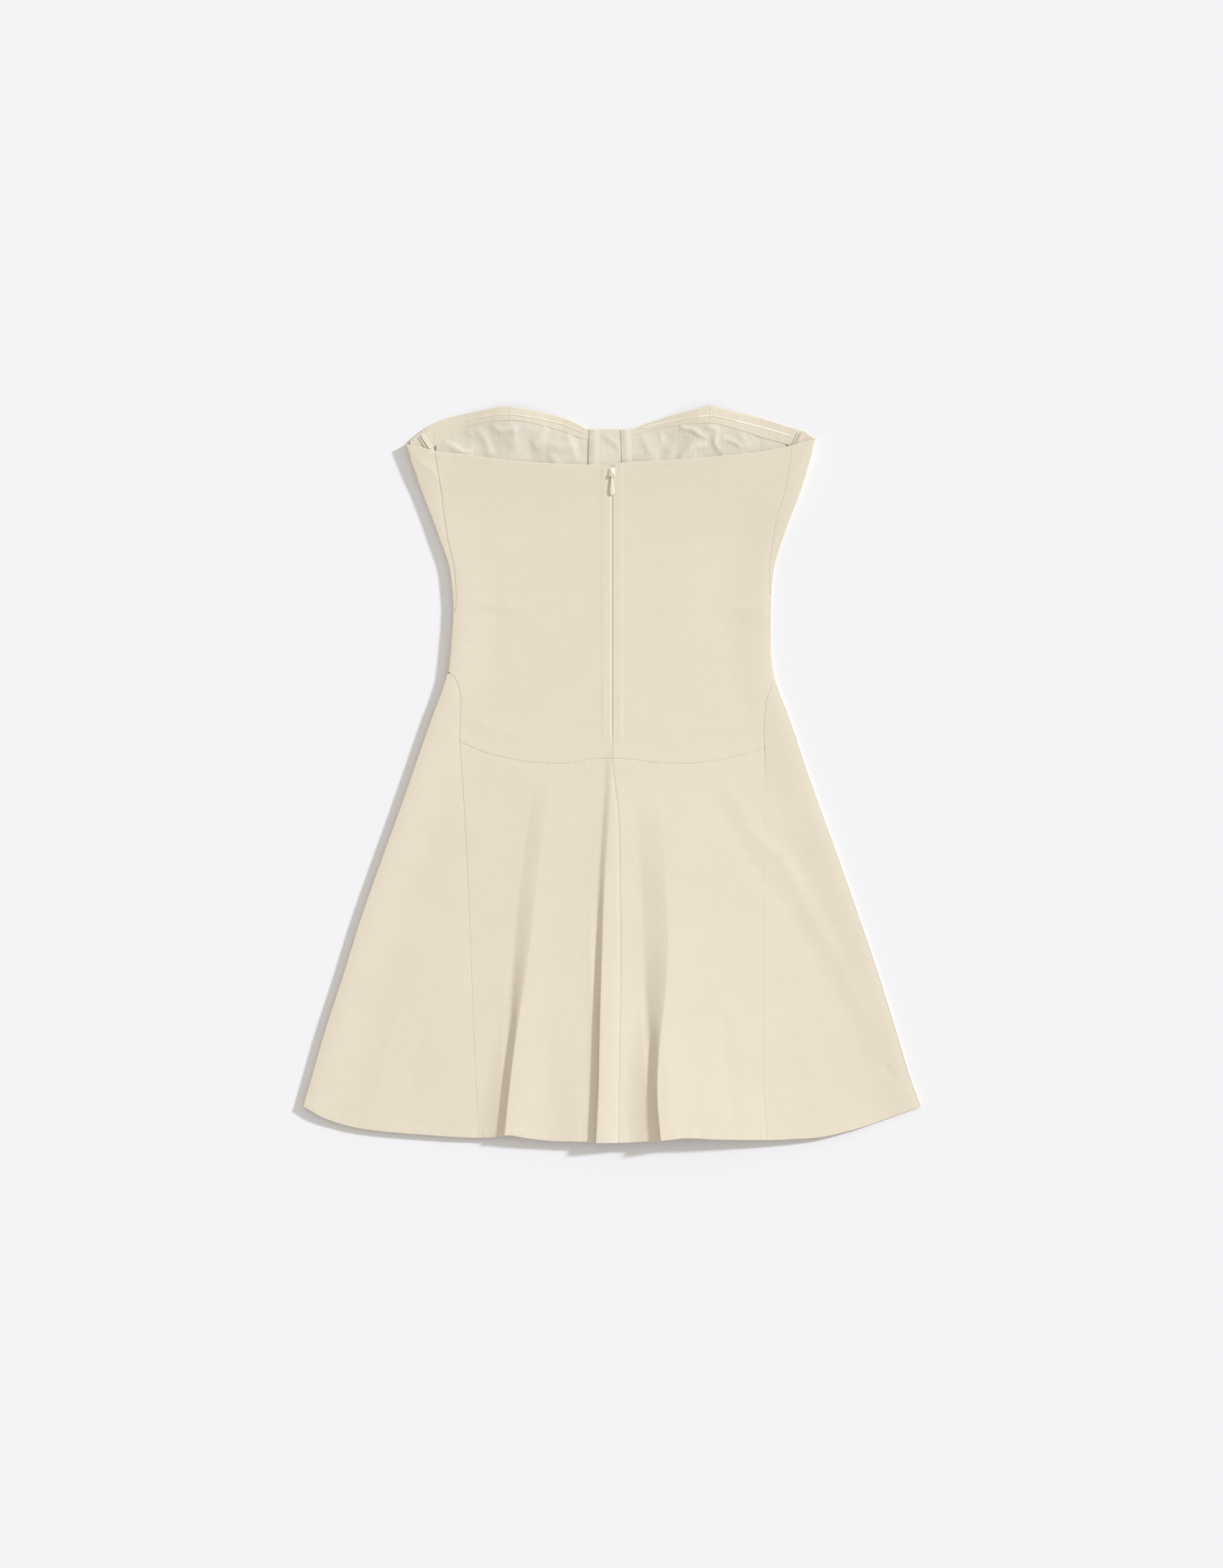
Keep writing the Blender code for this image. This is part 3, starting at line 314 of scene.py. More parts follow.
# ------------------------------------------------------------ small functions
def column(table, key, value):
    """A smooth curve through one column of a table, as a function of another."""
    rows = sorted((row[key], row[value]) for row in table)
    xs = np.array([row[0] for row in rows], float)
    ys = np.array([row[1] for row in rows], float)
    slopes = np.diff(ys) / np.diff(xs)
    bend = np.empty(len(xs))
    bend[0], bend[-1] = slopes[0], slopes[-1]
    for i in range(1, len(xs) - 1):
        low, high = slopes[i - 1], slopes[i]
        bend[i] = 0.0 if low * high <= 0 else 2 * low * high / (low + high)

    def curve(at):
        at = np.asarray(at, float)
        i = np.clip(np.searchsorted(xs, at) - 1, 0, len(xs) - 2)
        width = xs[i + 1] - xs[i]
        t = (at - xs[i]) / width
        inside = (
            (1 + 2 * t) * (1 - t) ** 2 * ys[i]
            + t * (1 - t) ** 2 * width * bend[i]
            + t * t * (3 - 2 * t) * ys[i + 1]
            + t * t * (t - 1) * width * bend[i + 1]
        )
        low = ys[0] + bend[0] * (at - xs[0])
        high = ys[-1] + bend[-1] * (at - xs[-1])
        return np.where(at <= xs[0], low, np.where(at >= xs[-1], high, inside))

    return curve


def lerp(a, b, t):
    return a + (b - a) * t


def ramp(value, low, high):
    """0 at low, 1 at high, with a soft start and end."""
    t = np.clip((value - low) / (high - low), 0.0, 1.0)
    return t * t * (3 - 2 * t)


def hump(value, middle, half):
    """1 at the middle, 0 at half away from it and beyond."""
    return np.cos(np.clip((value - middle) / half, -1.0, 1.0) * math.pi / 2) ** 2


def waver(value, seed, length):
    """An uneven wave of about that length, between -1 and 1."""
    p = value / length * 2 * math.pi
    return (
        0.5 * np.sin(p + seed)
        + 0.3 * np.sin(1.73 * p + 2.1 * seed)
        + 0.2 * np.sin(2.91 * p + 3.7 * seed)
    )


edge_left = column(OUTLINE, 1, 2)
edge_right = column(OUTLINE, 1, 3)
EDGE = {"left": edge_left, "right": edge_right}
INWARD = {"left": 1.0, "right": -1.0}
neckline = column(NECKLINE, 1, 2)
facing_edge = column(FACING_EDGE, 1, 2)
back_top_edge = column(BACK_TOP, 1, 2)
drop_waist = column(DROP_WAIST, 1, 2)
hem = column(HEM, 1, 2)
side_seam_q = {"left": column(SIDE_BACK_SEAM, 1, 2), "right": column(SIDE_BACK_SEAM, 1, 3)}
gore_seam = {"left": column(GORE_SEAM, 1, 2), "right": column(GORE_SEAM, 1, 3)}
centre_seam = column(CENTRE_SEAM, 1, 2)
edge_height = column(BACK_HEIGHT, 1, 2)
middle_height = column(BACK_HEIGHT, 1, 3)
front_seam = {
    name: column(FRONT_SEAMS, 1, i)
    for i, name in enumerate(["side_left", "apex_left", "centre_left", "centre_right", "apex_right", "side_right"], 2)
}
def fold_width(fold, y):
    """How wide a fold's lip is, from soft at its head to sharp at the hem."""
    return lerp(fold[11], fold[10], ramp(-y, -fold[12], -fold[13]))


FOLD_FEET = {
    fold[0]: column([(name, y, fold[2 + i]) for i, (name, y) in enumerate(FOLD_RUN)], 1, 2) for fold in BACK_FOLDS
}
FOLD_LINES = {fold[0]: (lambda y, fold=fold: FOLD_FEET[fold[0]](y) + fold_width(fold, y)) for fold in BACK_FOLDS}


# ------------------------------------------------------- forms of the two sides
def folds(x, y):
    """What the back's folds add: (height, how far their lips hang over to the left)."""
    height, over = 0.0, 0.0
    for name, start, *_, flank, flank_width, lip, lip_width, soft_width, soft, sharp, quick in BACK_FOLDS:
        line = FOLD_LINES[name](y)
        grown = 1 - (1 - np.clip((start - y) / (start + 362.0), 0.0, 1.0)) ** 1.6
        low = ramp(-y, 120.0, 362.0)
        crisp = ramp(-y, -soft, -sharp)
        hang = FOLD_HANG[name] * ramp(crisp, 0.35, 1.0)
        s = x - line - 0.85 * hang
        width = lerp(soft_width, lip_width, crisp)
        reach = lerp(0.45 * flank_width, flank_width, low)
        rise = flank * lerp(0.25, 1.0, low) * grown * np.clip((s + reach) / reach, 0.0, 1.0) ** 2.0
        t = np.clip((s + width) / width, 0.0, 1.0)
        rise = rise + lip * grown**0.7 * lerp(0.86, 1.0, crisp) * lerp(1 - (1 - t) ** 2, t * t * (3 - 2 * t), 0.4 + 0.6 * crisp)
        right = np.minimum(edge_right(y) - LOOP_DEPTH - 6.0 - line, FOLD_REACH[name])
        height = height + rise * (1 - ramp(s, -0.35 * right, right)) * (1 - quick * ramp(s, 0.0, 34.0))
        over = over + hang * ramp(s, -width, 0.4) * (1 - ramp(s, 0.4, 9.0))
        # the foot dips under the lip
        height = height - FOLD_DIP[name] * crisp * hump(s, -width - 1.5, 7.0)
    return height, over


# How far each fold's lip hangs over its foot at the hem, and how deep the foot dips.
FOLD_HANG = {"fold_a": 1.6, "fold_b": 3.4, "fold_c": 3.0}
FOLD_DIP = {"fold_a": 0.5, "fold_b": 0.8, "fold_c": 0.7}


def seam_dent(d, depth, width=0.5, puff=0.12, spread=1.6):
    """A sewn line: a narrow dent with a low swell on each side. d is the distance from it."""
    return -depth * np.exp(-((d / width) ** 2)) + puff * np.exp(-(((np.abs(d) - 2.4) / spread) ** 2))


def along(x, y, line):
    """(distance across, share along) of a point from a straight or bent line of points."""
    best = np.full(np.shape(x), 1e9)
    share = np.zeros(np.shape(x))
    total = sum(math.dist(a, b) for a, b in zip(line, line[1:]))
    gone = 0.0
    for (x1, y1), (x2, y2) in zip(line, line[1:]):
        length = math.dist((x1, y1), (x2, y2))
        t = np.clip(((x - x1) * (x2 - x1) + (y - y1) * (y2 - y1)) / length**2, 0.0, 1.0)
        d = np.hypot(x - x1 - t * (x2 - x1), y - y1 - t * (y2 - y1))
        near = d < best
        best = np.where(near, d, best)
        share = np.where(near, (gone + t * length) / total, share)
        gone += length
    return best, share


def creases(x, y, table):
    """Soft ridges and troughs along the lines of a table, fading to their ends."""
    total = 0.0
    for name, height, half, *line in table:
        d, share = along(x, y, line)
        fade = np.sqrt(np.clip(4 * share * (1 - share), 0.0, 1.0))
        total = total + height * fade * np.exp(-((d / half) ** 2))
    return total


# Creases of the back: the drag below the waist, and creases beside the edges and the zip.
BACK_CREASES = [
    # name, height, half width, line of points
    ("drag", 0.42, 8.0, (109.0, -4.0), (143.0, -63.0), (168.0, -82.0), (197.0, -136.0), (256.0, -248.0)),
    ("drag trough", -0.22, 9.0, (98.0, -16.0), (128.0, -74.0), (176.0, -136.0), (232.0, -250.0)),
    ("waist left", -0.22, 5.0, (-157.0, 152.0), (-132.0, 158.0), (-100.0, 156.0)),
    ("waist left 2", 0.18, 5.0, (-157.0, 168.0), (-128.0, 171.0), (-98.0, 166.0)),
    ("waist right", 0.20, 6.0, (157.0, 160.0), (126.0, 166.0), (98.0, 163.0)),
    ("waist right 2", -0.16, 6.0, (157.0, 141.0), (124.0, 148.0), (96.0, 147.0)),
    ("hip left", 0.20, 7.0, (-150.0, 60.0), (-118.0, 44.0), (-82.0, 38.0)),
    ("hip right", 0.18, 7.0, (150.0, 64.0), (112.0, 48.0), (74.0, 42.0)),
    ("rib left", 0.16, 9.0, (-150.0, 238.0), (-104.0, 222.0), (-40.0, 226.0)),
    ("rib right", 0.15, 10.0, (148.0, 232.0), (92.0, 214.0), (30.0, 219.0)),
    ("corner left", 0.26, 3.4, (-197.0, 315.0), (-178.0, 300.0), (-168.0, 286.0)),
    ("corner right", 0.24, 3.4, (194.0, 318.0), (176.0, 298.0), (160.0, 284.0)),
    ("hem corner right", -0.5, 1.3, (280.0, -302.0), (273.0, -294.0), (268.0, -285.0)),
    ("hem left 1", 0.2, 7.0, (-240.0, -345.0), (-228.0, -290.0), (-212.0, -230.0)),
    ("hem left 2", -0.16, 8.0, (-205.0, -352.0), (-196.0, -296.0), (-184.0, -240.0)),
    ("hem right 1", 0.18, 9.0, (206.0, -354.0), (198.0, -292.0), (184.0, -222.0)),
    ("hem right 2", -0.18, 8.0, (120.0, -358.0), (116.0, -300.0), (108.0, -236.0)),
]


def back_height(x, y):
    """The outside of the back: its upper side."""
    inset = np.minimum(x - edge_left(y), edge_right(y) - x) - LOOP_DEPTH
    base = lerp(edge_height(y), middle_height(y), ramp(inset, 0.0, 45.0))
    # the right edge lies lower than the left one
    base = base - 2.8 * np.clip(x / edge_right(y), 0.0, 1.0) ** 1.25 * (1 - ramp(y, 215.0, 285.0))
    return base + folds(x, y)[0]


def seam_line(d, depth, sharp=0.5, tail=6.0):
    """A seam that shows as one thin line: the cloth sinks slowly to it and rises sharply past it."""
    return -depth * np.where(d < 0, np.exp(np.minimum(d, 0.0) / tail), np.exp(-((d / sharp) ** 2)))


def back_detail(x, y):
    """Seams, creases and small unevenness of the back, on top of its form."""
    inset = np.minimum(x - edge_left(y), edge_right(y) - x) - LOOP_DEPTH
    inner = ramp(inset, 0.0, 12.0)
    z = creases(x, y, BACK_CREASES) * ramp(inset, -1.0, 6.0)
    # crowned across, and low right at the side edges
    z = z + 0.45 * ramp(inset, 0.0, 110.0) - 0.35 * np.exp(-np.maximum(inset, 0.0) / 6.0)
    # broad unevenness of the cloth
    z = z + inner * (0.10 * waver(x + 0.35 * y, 1.3, 118.0) * waver(y - 0.2 * x, 2.2, 165.0))
    z = z + inner * 0.035 * waver(x - 0.5 * y, 4.1, 46.0) * waver(y + 0.4 * x, 0.7, 61.0)
    # drop-waist seam with its allowance
    d = (y - drop_waist(x)) * 0.97
    between = ramp(x, gore_seam["left"](y) - 1.0, gore_seam["left"](y)) * ramp(
        -x, -gore_seam["right"](y) - 1.0, -gore_seam["right"](y)
    )
    pucker = 0.05 * waver(x, 0.4, 9.0)
    z = z + between * (seam_line(d, 0.15, 0.5, 3.0) + 0.08 * ramp(d, 0.2, 1.2) * (1 - ramp(d, 6.0, 9.5)))
    z = z + between * pucker * np.exp(-((d / 5.0) ** 2))
    # centre seam below the zip, and the zip's two ridges above
    d = x - np.where(y < 15.6, centre_seam(np.minimum(y, 15.6)), CENTRE_BACK)
    below = ramp(ZIP_FOOT - y, 0.0, 8.0)
    z = z + below * (seam_line(d, 0.20, 1.1, 1.6) + 0.04 * waver(y, 1.9, 11.0) * np.exp(-((d / 5.0) ** 2)))
    # a second, shallow fold to the left of the middle one
    z = z + 0.85 * ramp(-y, 165.0, 330.0) * ramp(x, -66.0, -40.0) * (1 - ramp(x, -38.0, -20.0))
    d = x - CENTRE_BACK
    above = ramp(y - ZIP_FOOT, -6.0, 12.0)
    ridge = np.exp(-(((np.abs(d) - 8.3) / 1.1) ** 2)) * (0.20 + 0.10 * ramp(y, 200.0, 300.0))
    z = z + above * (ridge + 0.12 * (1 - ramp(np.abs(d), 6.5, 9.5)) + 0.03 * waver(y, 2.6, 13.0) * np.exp(-((d / 7.0) ** 2)))
    z = z - above * 0.55 * np.exp(-((d / 0.7) ** 2))
    # side seams
    for side in ("left", "right"):
        seam_x = wrap_x(side, side_seam_q[side](y), y)
        d = (x - seam_x) * 0.97
        shown = ramp(y, GORE_POINT[side] - 4.0, GORE_POINT[side] + 4.0)
        strong = SEAM_DEPTH[side](y)
        z = z + shown * (seam_line(d, 0.22 * strong, 0.5, 4.0) + 0.05 * waver(y, 5.1, 10.0) * np.exp(-((d / 4.0) ** 2)))
        d = x - gore_seam[side](y)
        shown = 1 - ramp(y, GORE_POINT[side] - 10.0, GORE_POINT[side] - 2.0)
        strong = GORE_DEPTH[side](y)
        z = z + shown * (seam_line(d, 0.15 * strong, 0.5, 5.0) + 0.05 * waver(y, 3.3, 12.0) * np.exp(-((d / 4.0) ** 2)))
    # the turned hem: a faint step, a stitched line and small puckers
    d = y - hem(x)
    z = z + 0.10 * (1 - ramp(d, 7.4, 10.0)) - 0.14 * np.exp(-(((d - 8.6) / 0.8) ** 2))
    z = z + (0.10 * waver(x, 3.1, 17.0) + 0.06 * waver(x, 1.2, 7.0)) * np.exp(-((d / 8.0) ** 2))
    # the neckline's turned top edge
    d = back_top_edge(x) - y
    z = z + 0.10 * (1 - ramp(d, 5.0, 8.0)) + 0.05 * waver(x, 2.7, 15.0) * np.exp(-((d / 6.0) ** 2))
    return z


# How clearly each seam shows from its foot to its head.
SEAM_SHOWN = [
    # name,        y,    side left, side right
    ("peak", 101.9, 0.4, 0.25),
    ("waist", 155.0, 0.6, 0.35),
    ("above waist", 178.0, 0.9, 0.5),
    ("ribs", 216.0, 1.0, 0.6),
    ("bust", 284.4, 1.2, 0.6),
    ("top", 320.0, 1.0, 0.4),
]
GORE_SHOWN = [
    # name,      y,    left, right
    ("hem", -360.0, 0.7, 0.3),
    ("middle", -175.0, 0.7, 0.15),
    ("upper", -57.9, 0.7, 0.12),
    ("below join", -5.0, 0.7, 0.4),
    ("join", 25.0, 1.0, 1.2),
    ("shoulder", 84.0, 1.3, 1.3),
]
SEAM_DEPTH = {"left": column(SEAM_SHOWN, 1, 2), "right": column(SEAM_SHOWN, 1, 3)}
GORE_DEPTH = {"left": column(GORE_SHOWN, 1, 2), "right": column(GORE_SHOWN, 1, 3)}


def front_height(x, y):
    """The outside of the front: its lower side."""
    z = 0.0
    for _, cx, cy, height, half_x, half_y in CUPS:
        z = z + height * hump(x, cx, half_x) * hump(y, cy, half_y)
    for _, x_high, y_high, x_low, y_low, height, half in FRONT_RIDGES:
        t = np.maximum((y_high - y) / (y_high - y_low), 0.0)
        z = z + height * ramp(t, 0.0, 0.95) * hump(x, lerp(x_high, x_low, t), half)
    return z


def front_detail(x, y):
    """Seams and shallow troughs of the front, cut upwards into its lower side."""
    z = 0.0
    for key, line in front_seam.items():
        if key.startswith("centre") or key.startswith("apex") or key.startswith("side"):
            d = x - line(y)
            shown = ramp(y, drop_waist(x) - 2.0, drop_waist(x) + 2.0)
            z = z + shown * 0.6 * np.exp(-((d / 0.6) ** 2)) + shown * 0.04 * (1 + waver(y, 1.0 + line(100.0), 10.0)) * np.exp(-((d / 4.0) ** 2))
    d = (y - drop_waist(x)) * 0.97
    z = z + 0.6 * np.exp(-((d / 0.6) ** 2)) + 0.05 * (1 + waver(x, 0.9, 9.0)) * np.exp(-((d / 4.0) ** 2))
    for side in ("left", "right"):
        d = x - gore_seam[side](y)
        shown = 1 - ramp(y, GORE_POINT[side] - 10.0, GORE_POINT[side] - 2.0)
        z = z + shown * 0.6 * np.exp(-((d / 0.6) ** 2)) + shown * 0.04 * (1 + waver(y, 2.2, 11.0)) * np.exp(-((d / 4.0) ** 2))
    d = y - hem(x) - FRONT_HEM_UP
    z = z + 0.12 * np.exp(-(((d - 8.6) / 0.8) ** 2)) + 0.08 * (1 + waver(x, 1.7, 13.0)) * np.exp(-((d / 7.0) ** 2))
    z = z + 0.10 * (1 + waver(x + 0.3 * y, 0.3, 130.0) * waver(y - 0.3 * x, 1.9, 170.0))
    return z


# --------------------------------------------------------- points on the dress
def back_place(x, y):
    over = folds(x, y)[1]
    return np.stack([x - over, y + 0 * x, back_height(x, y) + back_detail(x, y)], -1)


def front_place(x, y):
    return np.stack([x, y + 0 * x, front_height(x, y) + front_detail(x, y)], -1)


def wrap_turn(q):
    """(how far in, how far up) round the side edge's fold, which is nearly square."""
    angle = np.clip(q / LOOP_ARC, -1.0, 1.0) * math.pi / 2
    power = 2.0 / EDGE_SQUARE
    inner = 1 - np.abs(np.cos(angle)) ** power
    return inner, np.sign(angle) * np.abs(np.sin(angle)) ** power


EDGE_SQUARE = 9.0  # 2 is a round fold, more is squarer
EDGE_TUCK = 1.3  # how far the fold's foot is tucked in under its top


def wrap_x(side, q, y):
    edge, inward = EDGE[side](y), INWARD[side]
    inner, turn = wrap_turn(q)
    near = edge + inward * (LOOP_DEPTH * inner + EDGE_TUCK * (1 - turn) / 2 * (1 - inner))
    return np.where(np.abs(q) < LOOP_ARC, near, edge + inward * (LOOP_DEPTH + np.abs(q) - LOOP_ARC))


def wrap_q(side, x, y):
    return INWARD[side] * (x - EDGE[side](y)) - LOOP_DEPTH + LOOP_ARC


def wrap_place(side):
    def place(q, y):
        x = wrap_x(side, q, y)
        shoulder = EDGE[side](y) + INWARD[side] * LOOP_DEPTH
        on_back = np.where(q >= LOOP_ARC, x, shoulder)
        on_front = np.where(q <= -LOOP_ARC, x, shoulder)
        top = back_height(on_back, y) + back_detail(on_back, y)
        bottom = front_height(on_front, y) + front_detail(on_front, y)
        turn = wrap_turn(q)[1]
        z = np.where(q >= LOOP_ARC, top, np.where(q <= -LOOP_ARC, bottom, (top + bottom) / 2 + (top - bottom) / 2 * turn))
        return np.stack([x, y + 0 * x, z], -1)

    return place


def settle(rule, start, rounds=14):
    y = start
    for _ in range(rounds):
        y = rule(y)
    return y


# ------------------------------------------------------------------ cloth grids
FINE = [0.0, 0.14, 0.34, 0.62, 1.0, 1.5, 2.2, 3.2, 4.6]


def stations(length, step, low=True, high=True):
    """Shares from 0 to 1 along a length, closer at the sewn or turned ends."""
    start = FINE if low else [0.0]
    end = [length - d for d in (FINE if high else [0.0])][::-1]
    inner = end[0] - start[-1]
    count = max(2, round(inner / step))
    middle = [start[-1] + inner * i / count for i in range(1, count)]
    return np.array(start + middle + end) / length


def between(guides, shares):
    """Columns on each pair of guides, at that pair's shares. Each column is a function of y."""
    made = []
    for k, (low, high, shares_k) in enumerate(zip(guides, guides[1:], shares)):
        for share in shares_k if k == 0 else shares_k[1:]:
            made.append(lambda y, low=low, high=high, share=share: lerp(low(y), high(y), share))
    return made


def rows_of(columns, to_x, bottom, top, shares, low_start, high_start):
    """A and Y of the grid: each column runs from the curve below to the curve above."""
    across, up = [], []
    for at in columns:
        low = settle(lambda y: bottom(to_x(at(y), y), at(y)), np.float64(low_start))
        high = settle(lambda y: top(to_x(at(y), y), at(y)), np.float64(high_start))
        y = lerp(low, high, shares)
        up.append(y)
        across.append(at(y) + 0 * y)
    return np.array(across), np.array(up)


def pulled(across, up, edges, gap):
    """Pulls the sewn edges back from their seam lines by gap."""
    a, u = across.copy(), up.copy()
    for key, rim, inner in (
        ("l", (0, slice(None)), (1, slice(None))),
        ("r", (-1, slice(None)), (-2, slice(None))),
        ("b", (slice(None), 0), (slice(None), 1)),
        ("t", (slice(None), -1), (slice(None), -2)),
    ):
        if key in edges:
            da, du = across[inner] - across[rim], up[inner] - up[rim]
            share = np.minimum(0.9, gap / np.maximum(np.hypot(da, du), 1e-6))
            a[rim] += da * share
            u[rim] += du * share
    return a, u


PIECES = {}
SEWN_ROUND = 0.06  # how round a sewn edge is; a free edge is as round as its wall


def walled(name, points, facing, wall, look, body="dress", nodes=(), roll=True, sewn=""):
    """A sheet of cloth from a grid of points on its outer side, in mm, with a rounded rim."""
    n, m = points.shape[:2]
    da = np.gradient(points, axis=0)
    dy = np.gradient(points, axis=1)
    normal = np.cross(da, dy)
    normal /= np.maximum(np.linalg.norm(normal, axis=-1, keepdims=True), 1e-12)
    normal *= facing
    across = np.linalg.norm(np.diff(points, axis=0), axis=-1)
    up = np.linalg.norm(np.diff(points, axis=1), axis=-1)
    zero_a, zero_u = np.zeros((1, m)), np.zeros((n, 1))
    from_l = np.concatenate([zero_a, np.cumsum(across, 0)], 0)
    from_b = np.concatenate([zero_u, np.cumsum(up, 1)], 1)
    turn = 0 * from_l
    for key, d in (("l", from_l), ("r", from_l[-1:] - from_l), ("b", from_b), ("t", from_b[:, -1:] - from_b)):
        r = SEWN_ROUND if key in sewn else wall * 0.5
        inward = np.clip(r - d, 0.0, r)
        if roll:
            turn = np.maximum(turn, (r - np.sqrt(np.maximum(r * r - inward**2, 0.0))) * 0.92)
    outer = points - normal * turn[..., None]
    inner = points - normal * (wall - turn)[..., None]
    verts = np.concatenate([outer.reshape(-1, 3), inner.reshape(-1, 3)]) * MM
    idx = np.arange(n * m).reshape(n, m)
    quads = np.stack([idx[:-1, :-1], idx[1:, :-1], idx[1:, 1:], idx[:-1, 1:]], -1).reshape(-1, 4)
    loop = np.concatenate([idx[:, 0], idx[-1, 1:], idx[-2::-1, -1], idx[0, -2:0:-1]])
    after = np.roll(loop, -1)
    rim = np.stack([after, loop, loop + n * m, after + n * m], -1)
    faces = np.concatenate([quads, quads[:, ::-1] + n * m, rim])
    if facing < 0:
        faces = faces[:, ::-1]
    mesh = bpy.data.meshes.new(name)
    mesh.from_pydata(verts.tolist(), [], faces.tolist())
    mesh.shade_smooth()
    mesh.update()
    piece = bpy.data.objects.new(name, mesh)
    bpy.context.scene.collection.objects.link(piece)
    mesh.materials.append(look)
    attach(piece, body)
    if nodes:
        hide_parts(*nodes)
    quad_area = np.linalg.norm(
        np.cross(points[1:, 1:] - points[:-1, :-1], points[:-1, 1:] - points[1:, :-1]), axis=-1
    ).sum() / 2
    PIECES[name] = (piece, across.sum(0).max() * MM, up.sum(1).max() * MM, quad_area * MM * MM)
    return piece


# ------------------------------------------------------------------- materials
def nodes_for(name, color, roughness, metallic=0.0):
    made = bpy.data.materials.new(name)
    made.use_nodes = True
    tree = made.node_tree
    shader = tree.nodes["Principled BSDF"]
    shader.inputs["Roughness"].default_value = roughness
    shader.inputs["Metallic"].default_value = metallic
    place = tree.nodes.new("ShaderNodeTexCoord")
    return made, tree, shader, place


def noise(tree, place, scale, detail=3.0, rough=0.55, stretch=None):
    node = tree.nodes.new("ShaderNodeTexNoise")
    node.inputs["Scale"].default_value = scale
    node.inputs["Detail"].default_value = detail
    node.inputs["Roughness"].default_value = rough
    source = place.outputs["Object"]
    if stretch:
        mapping = tree.nodes.new("ShaderNodeMapping")
        mapping.inputs["Scale"].default_value = stretch
        tree.links.new(source, mapping.inputs["Vector"])
        source = mapping.outputs["Vector"]
    tree.links.new(source, node.inputs["Vector"])
    return node.outputs["Fac"]


def bands(tree, place, pitch, turn):
    """Fine threads of that pitch in metres, running across the direction turned from X by that angle."""
    mapping = tree.nodes.new("ShaderNodeMapping")
    mapping.inputs["Rotation"].default_value = (0.0, 0.0, math.radians(turn))
    tree.links.new(place.outputs["Object"], mapping.inputs["Vector"])
    node = tree.nodes.new("ShaderNodeTexWave")
    node.wave_type = "BANDS"
    node.bands_direction = "X"
    node.wave_profile = "SIN"
    node.inputs["Scale"].default_value = 1.0 / (pitch * 20.0) * math.pi * 2 / 1.0 / 2.0
    node.inputs["Distortion"].default_value = 0.6
    node.inputs["Detail"].default_value = 1.0
    node.inputs["Detail Scale"].default_value = 2.0
    tree.links.new(mapping.outputs["Vector"], node.inputs["Vector"])
    return node.outputs["Fac"]


def math_node(tree, kind, a, b):
    node = tree.nodes.new("ShaderNodeMath")
    node.operation = kind
    for socket, value in zip(node.inputs, (a, b)):
        if isinstance(value, (int, float)):
            socket.default_value = value
        else:
            tree.links.new(value, socket)
    return node.outputs[0]


def spread(tree, factor, low, high):
    node = tree.nodes.new("ShaderNodeMapRange")
    node.inputs["From Min"].default_value = 0.25
    node.inputs["From Max"].default_value = 0.75
    node.inputs["To Min"].default_value = low
    node.inputs["To Max"].default_value = high
    tree.links.new(factor, node.inputs["Value"])
    return node.outputs["Result"]


def tint(tree, color, dark, factor):
    """The colour at factor 1, a darker one at 0."""
    node = tree.nodes.new("ShaderNodeMix")
    node.data_type = "RGBA"
    node.inputs[6].default_value = (*[c * d for c, d in zip(color, dark)], 1.0)
    node.inputs[7].default_value = (*color, 1.0)
    tree.links.new(factor, node.inputs["Factor"])
    return node.outputs[2]


def bump(tree, shader, height, distance, strength=1.0, after=None):
    node = tree.nodes.new("ShaderNodeBump")
    node.inputs["Strength"].default_value = strength
    node.inputs["Distance"].default_value = distance
    tree.links.new(height, node.inputs["Height"])
    if after is not None:
        tree.links.new(after, node.inputs["Normal"])
    tree.links.new(node.outputs["Normal"], shader.inputs["Normal"])
    return node.outputs["Normal"]


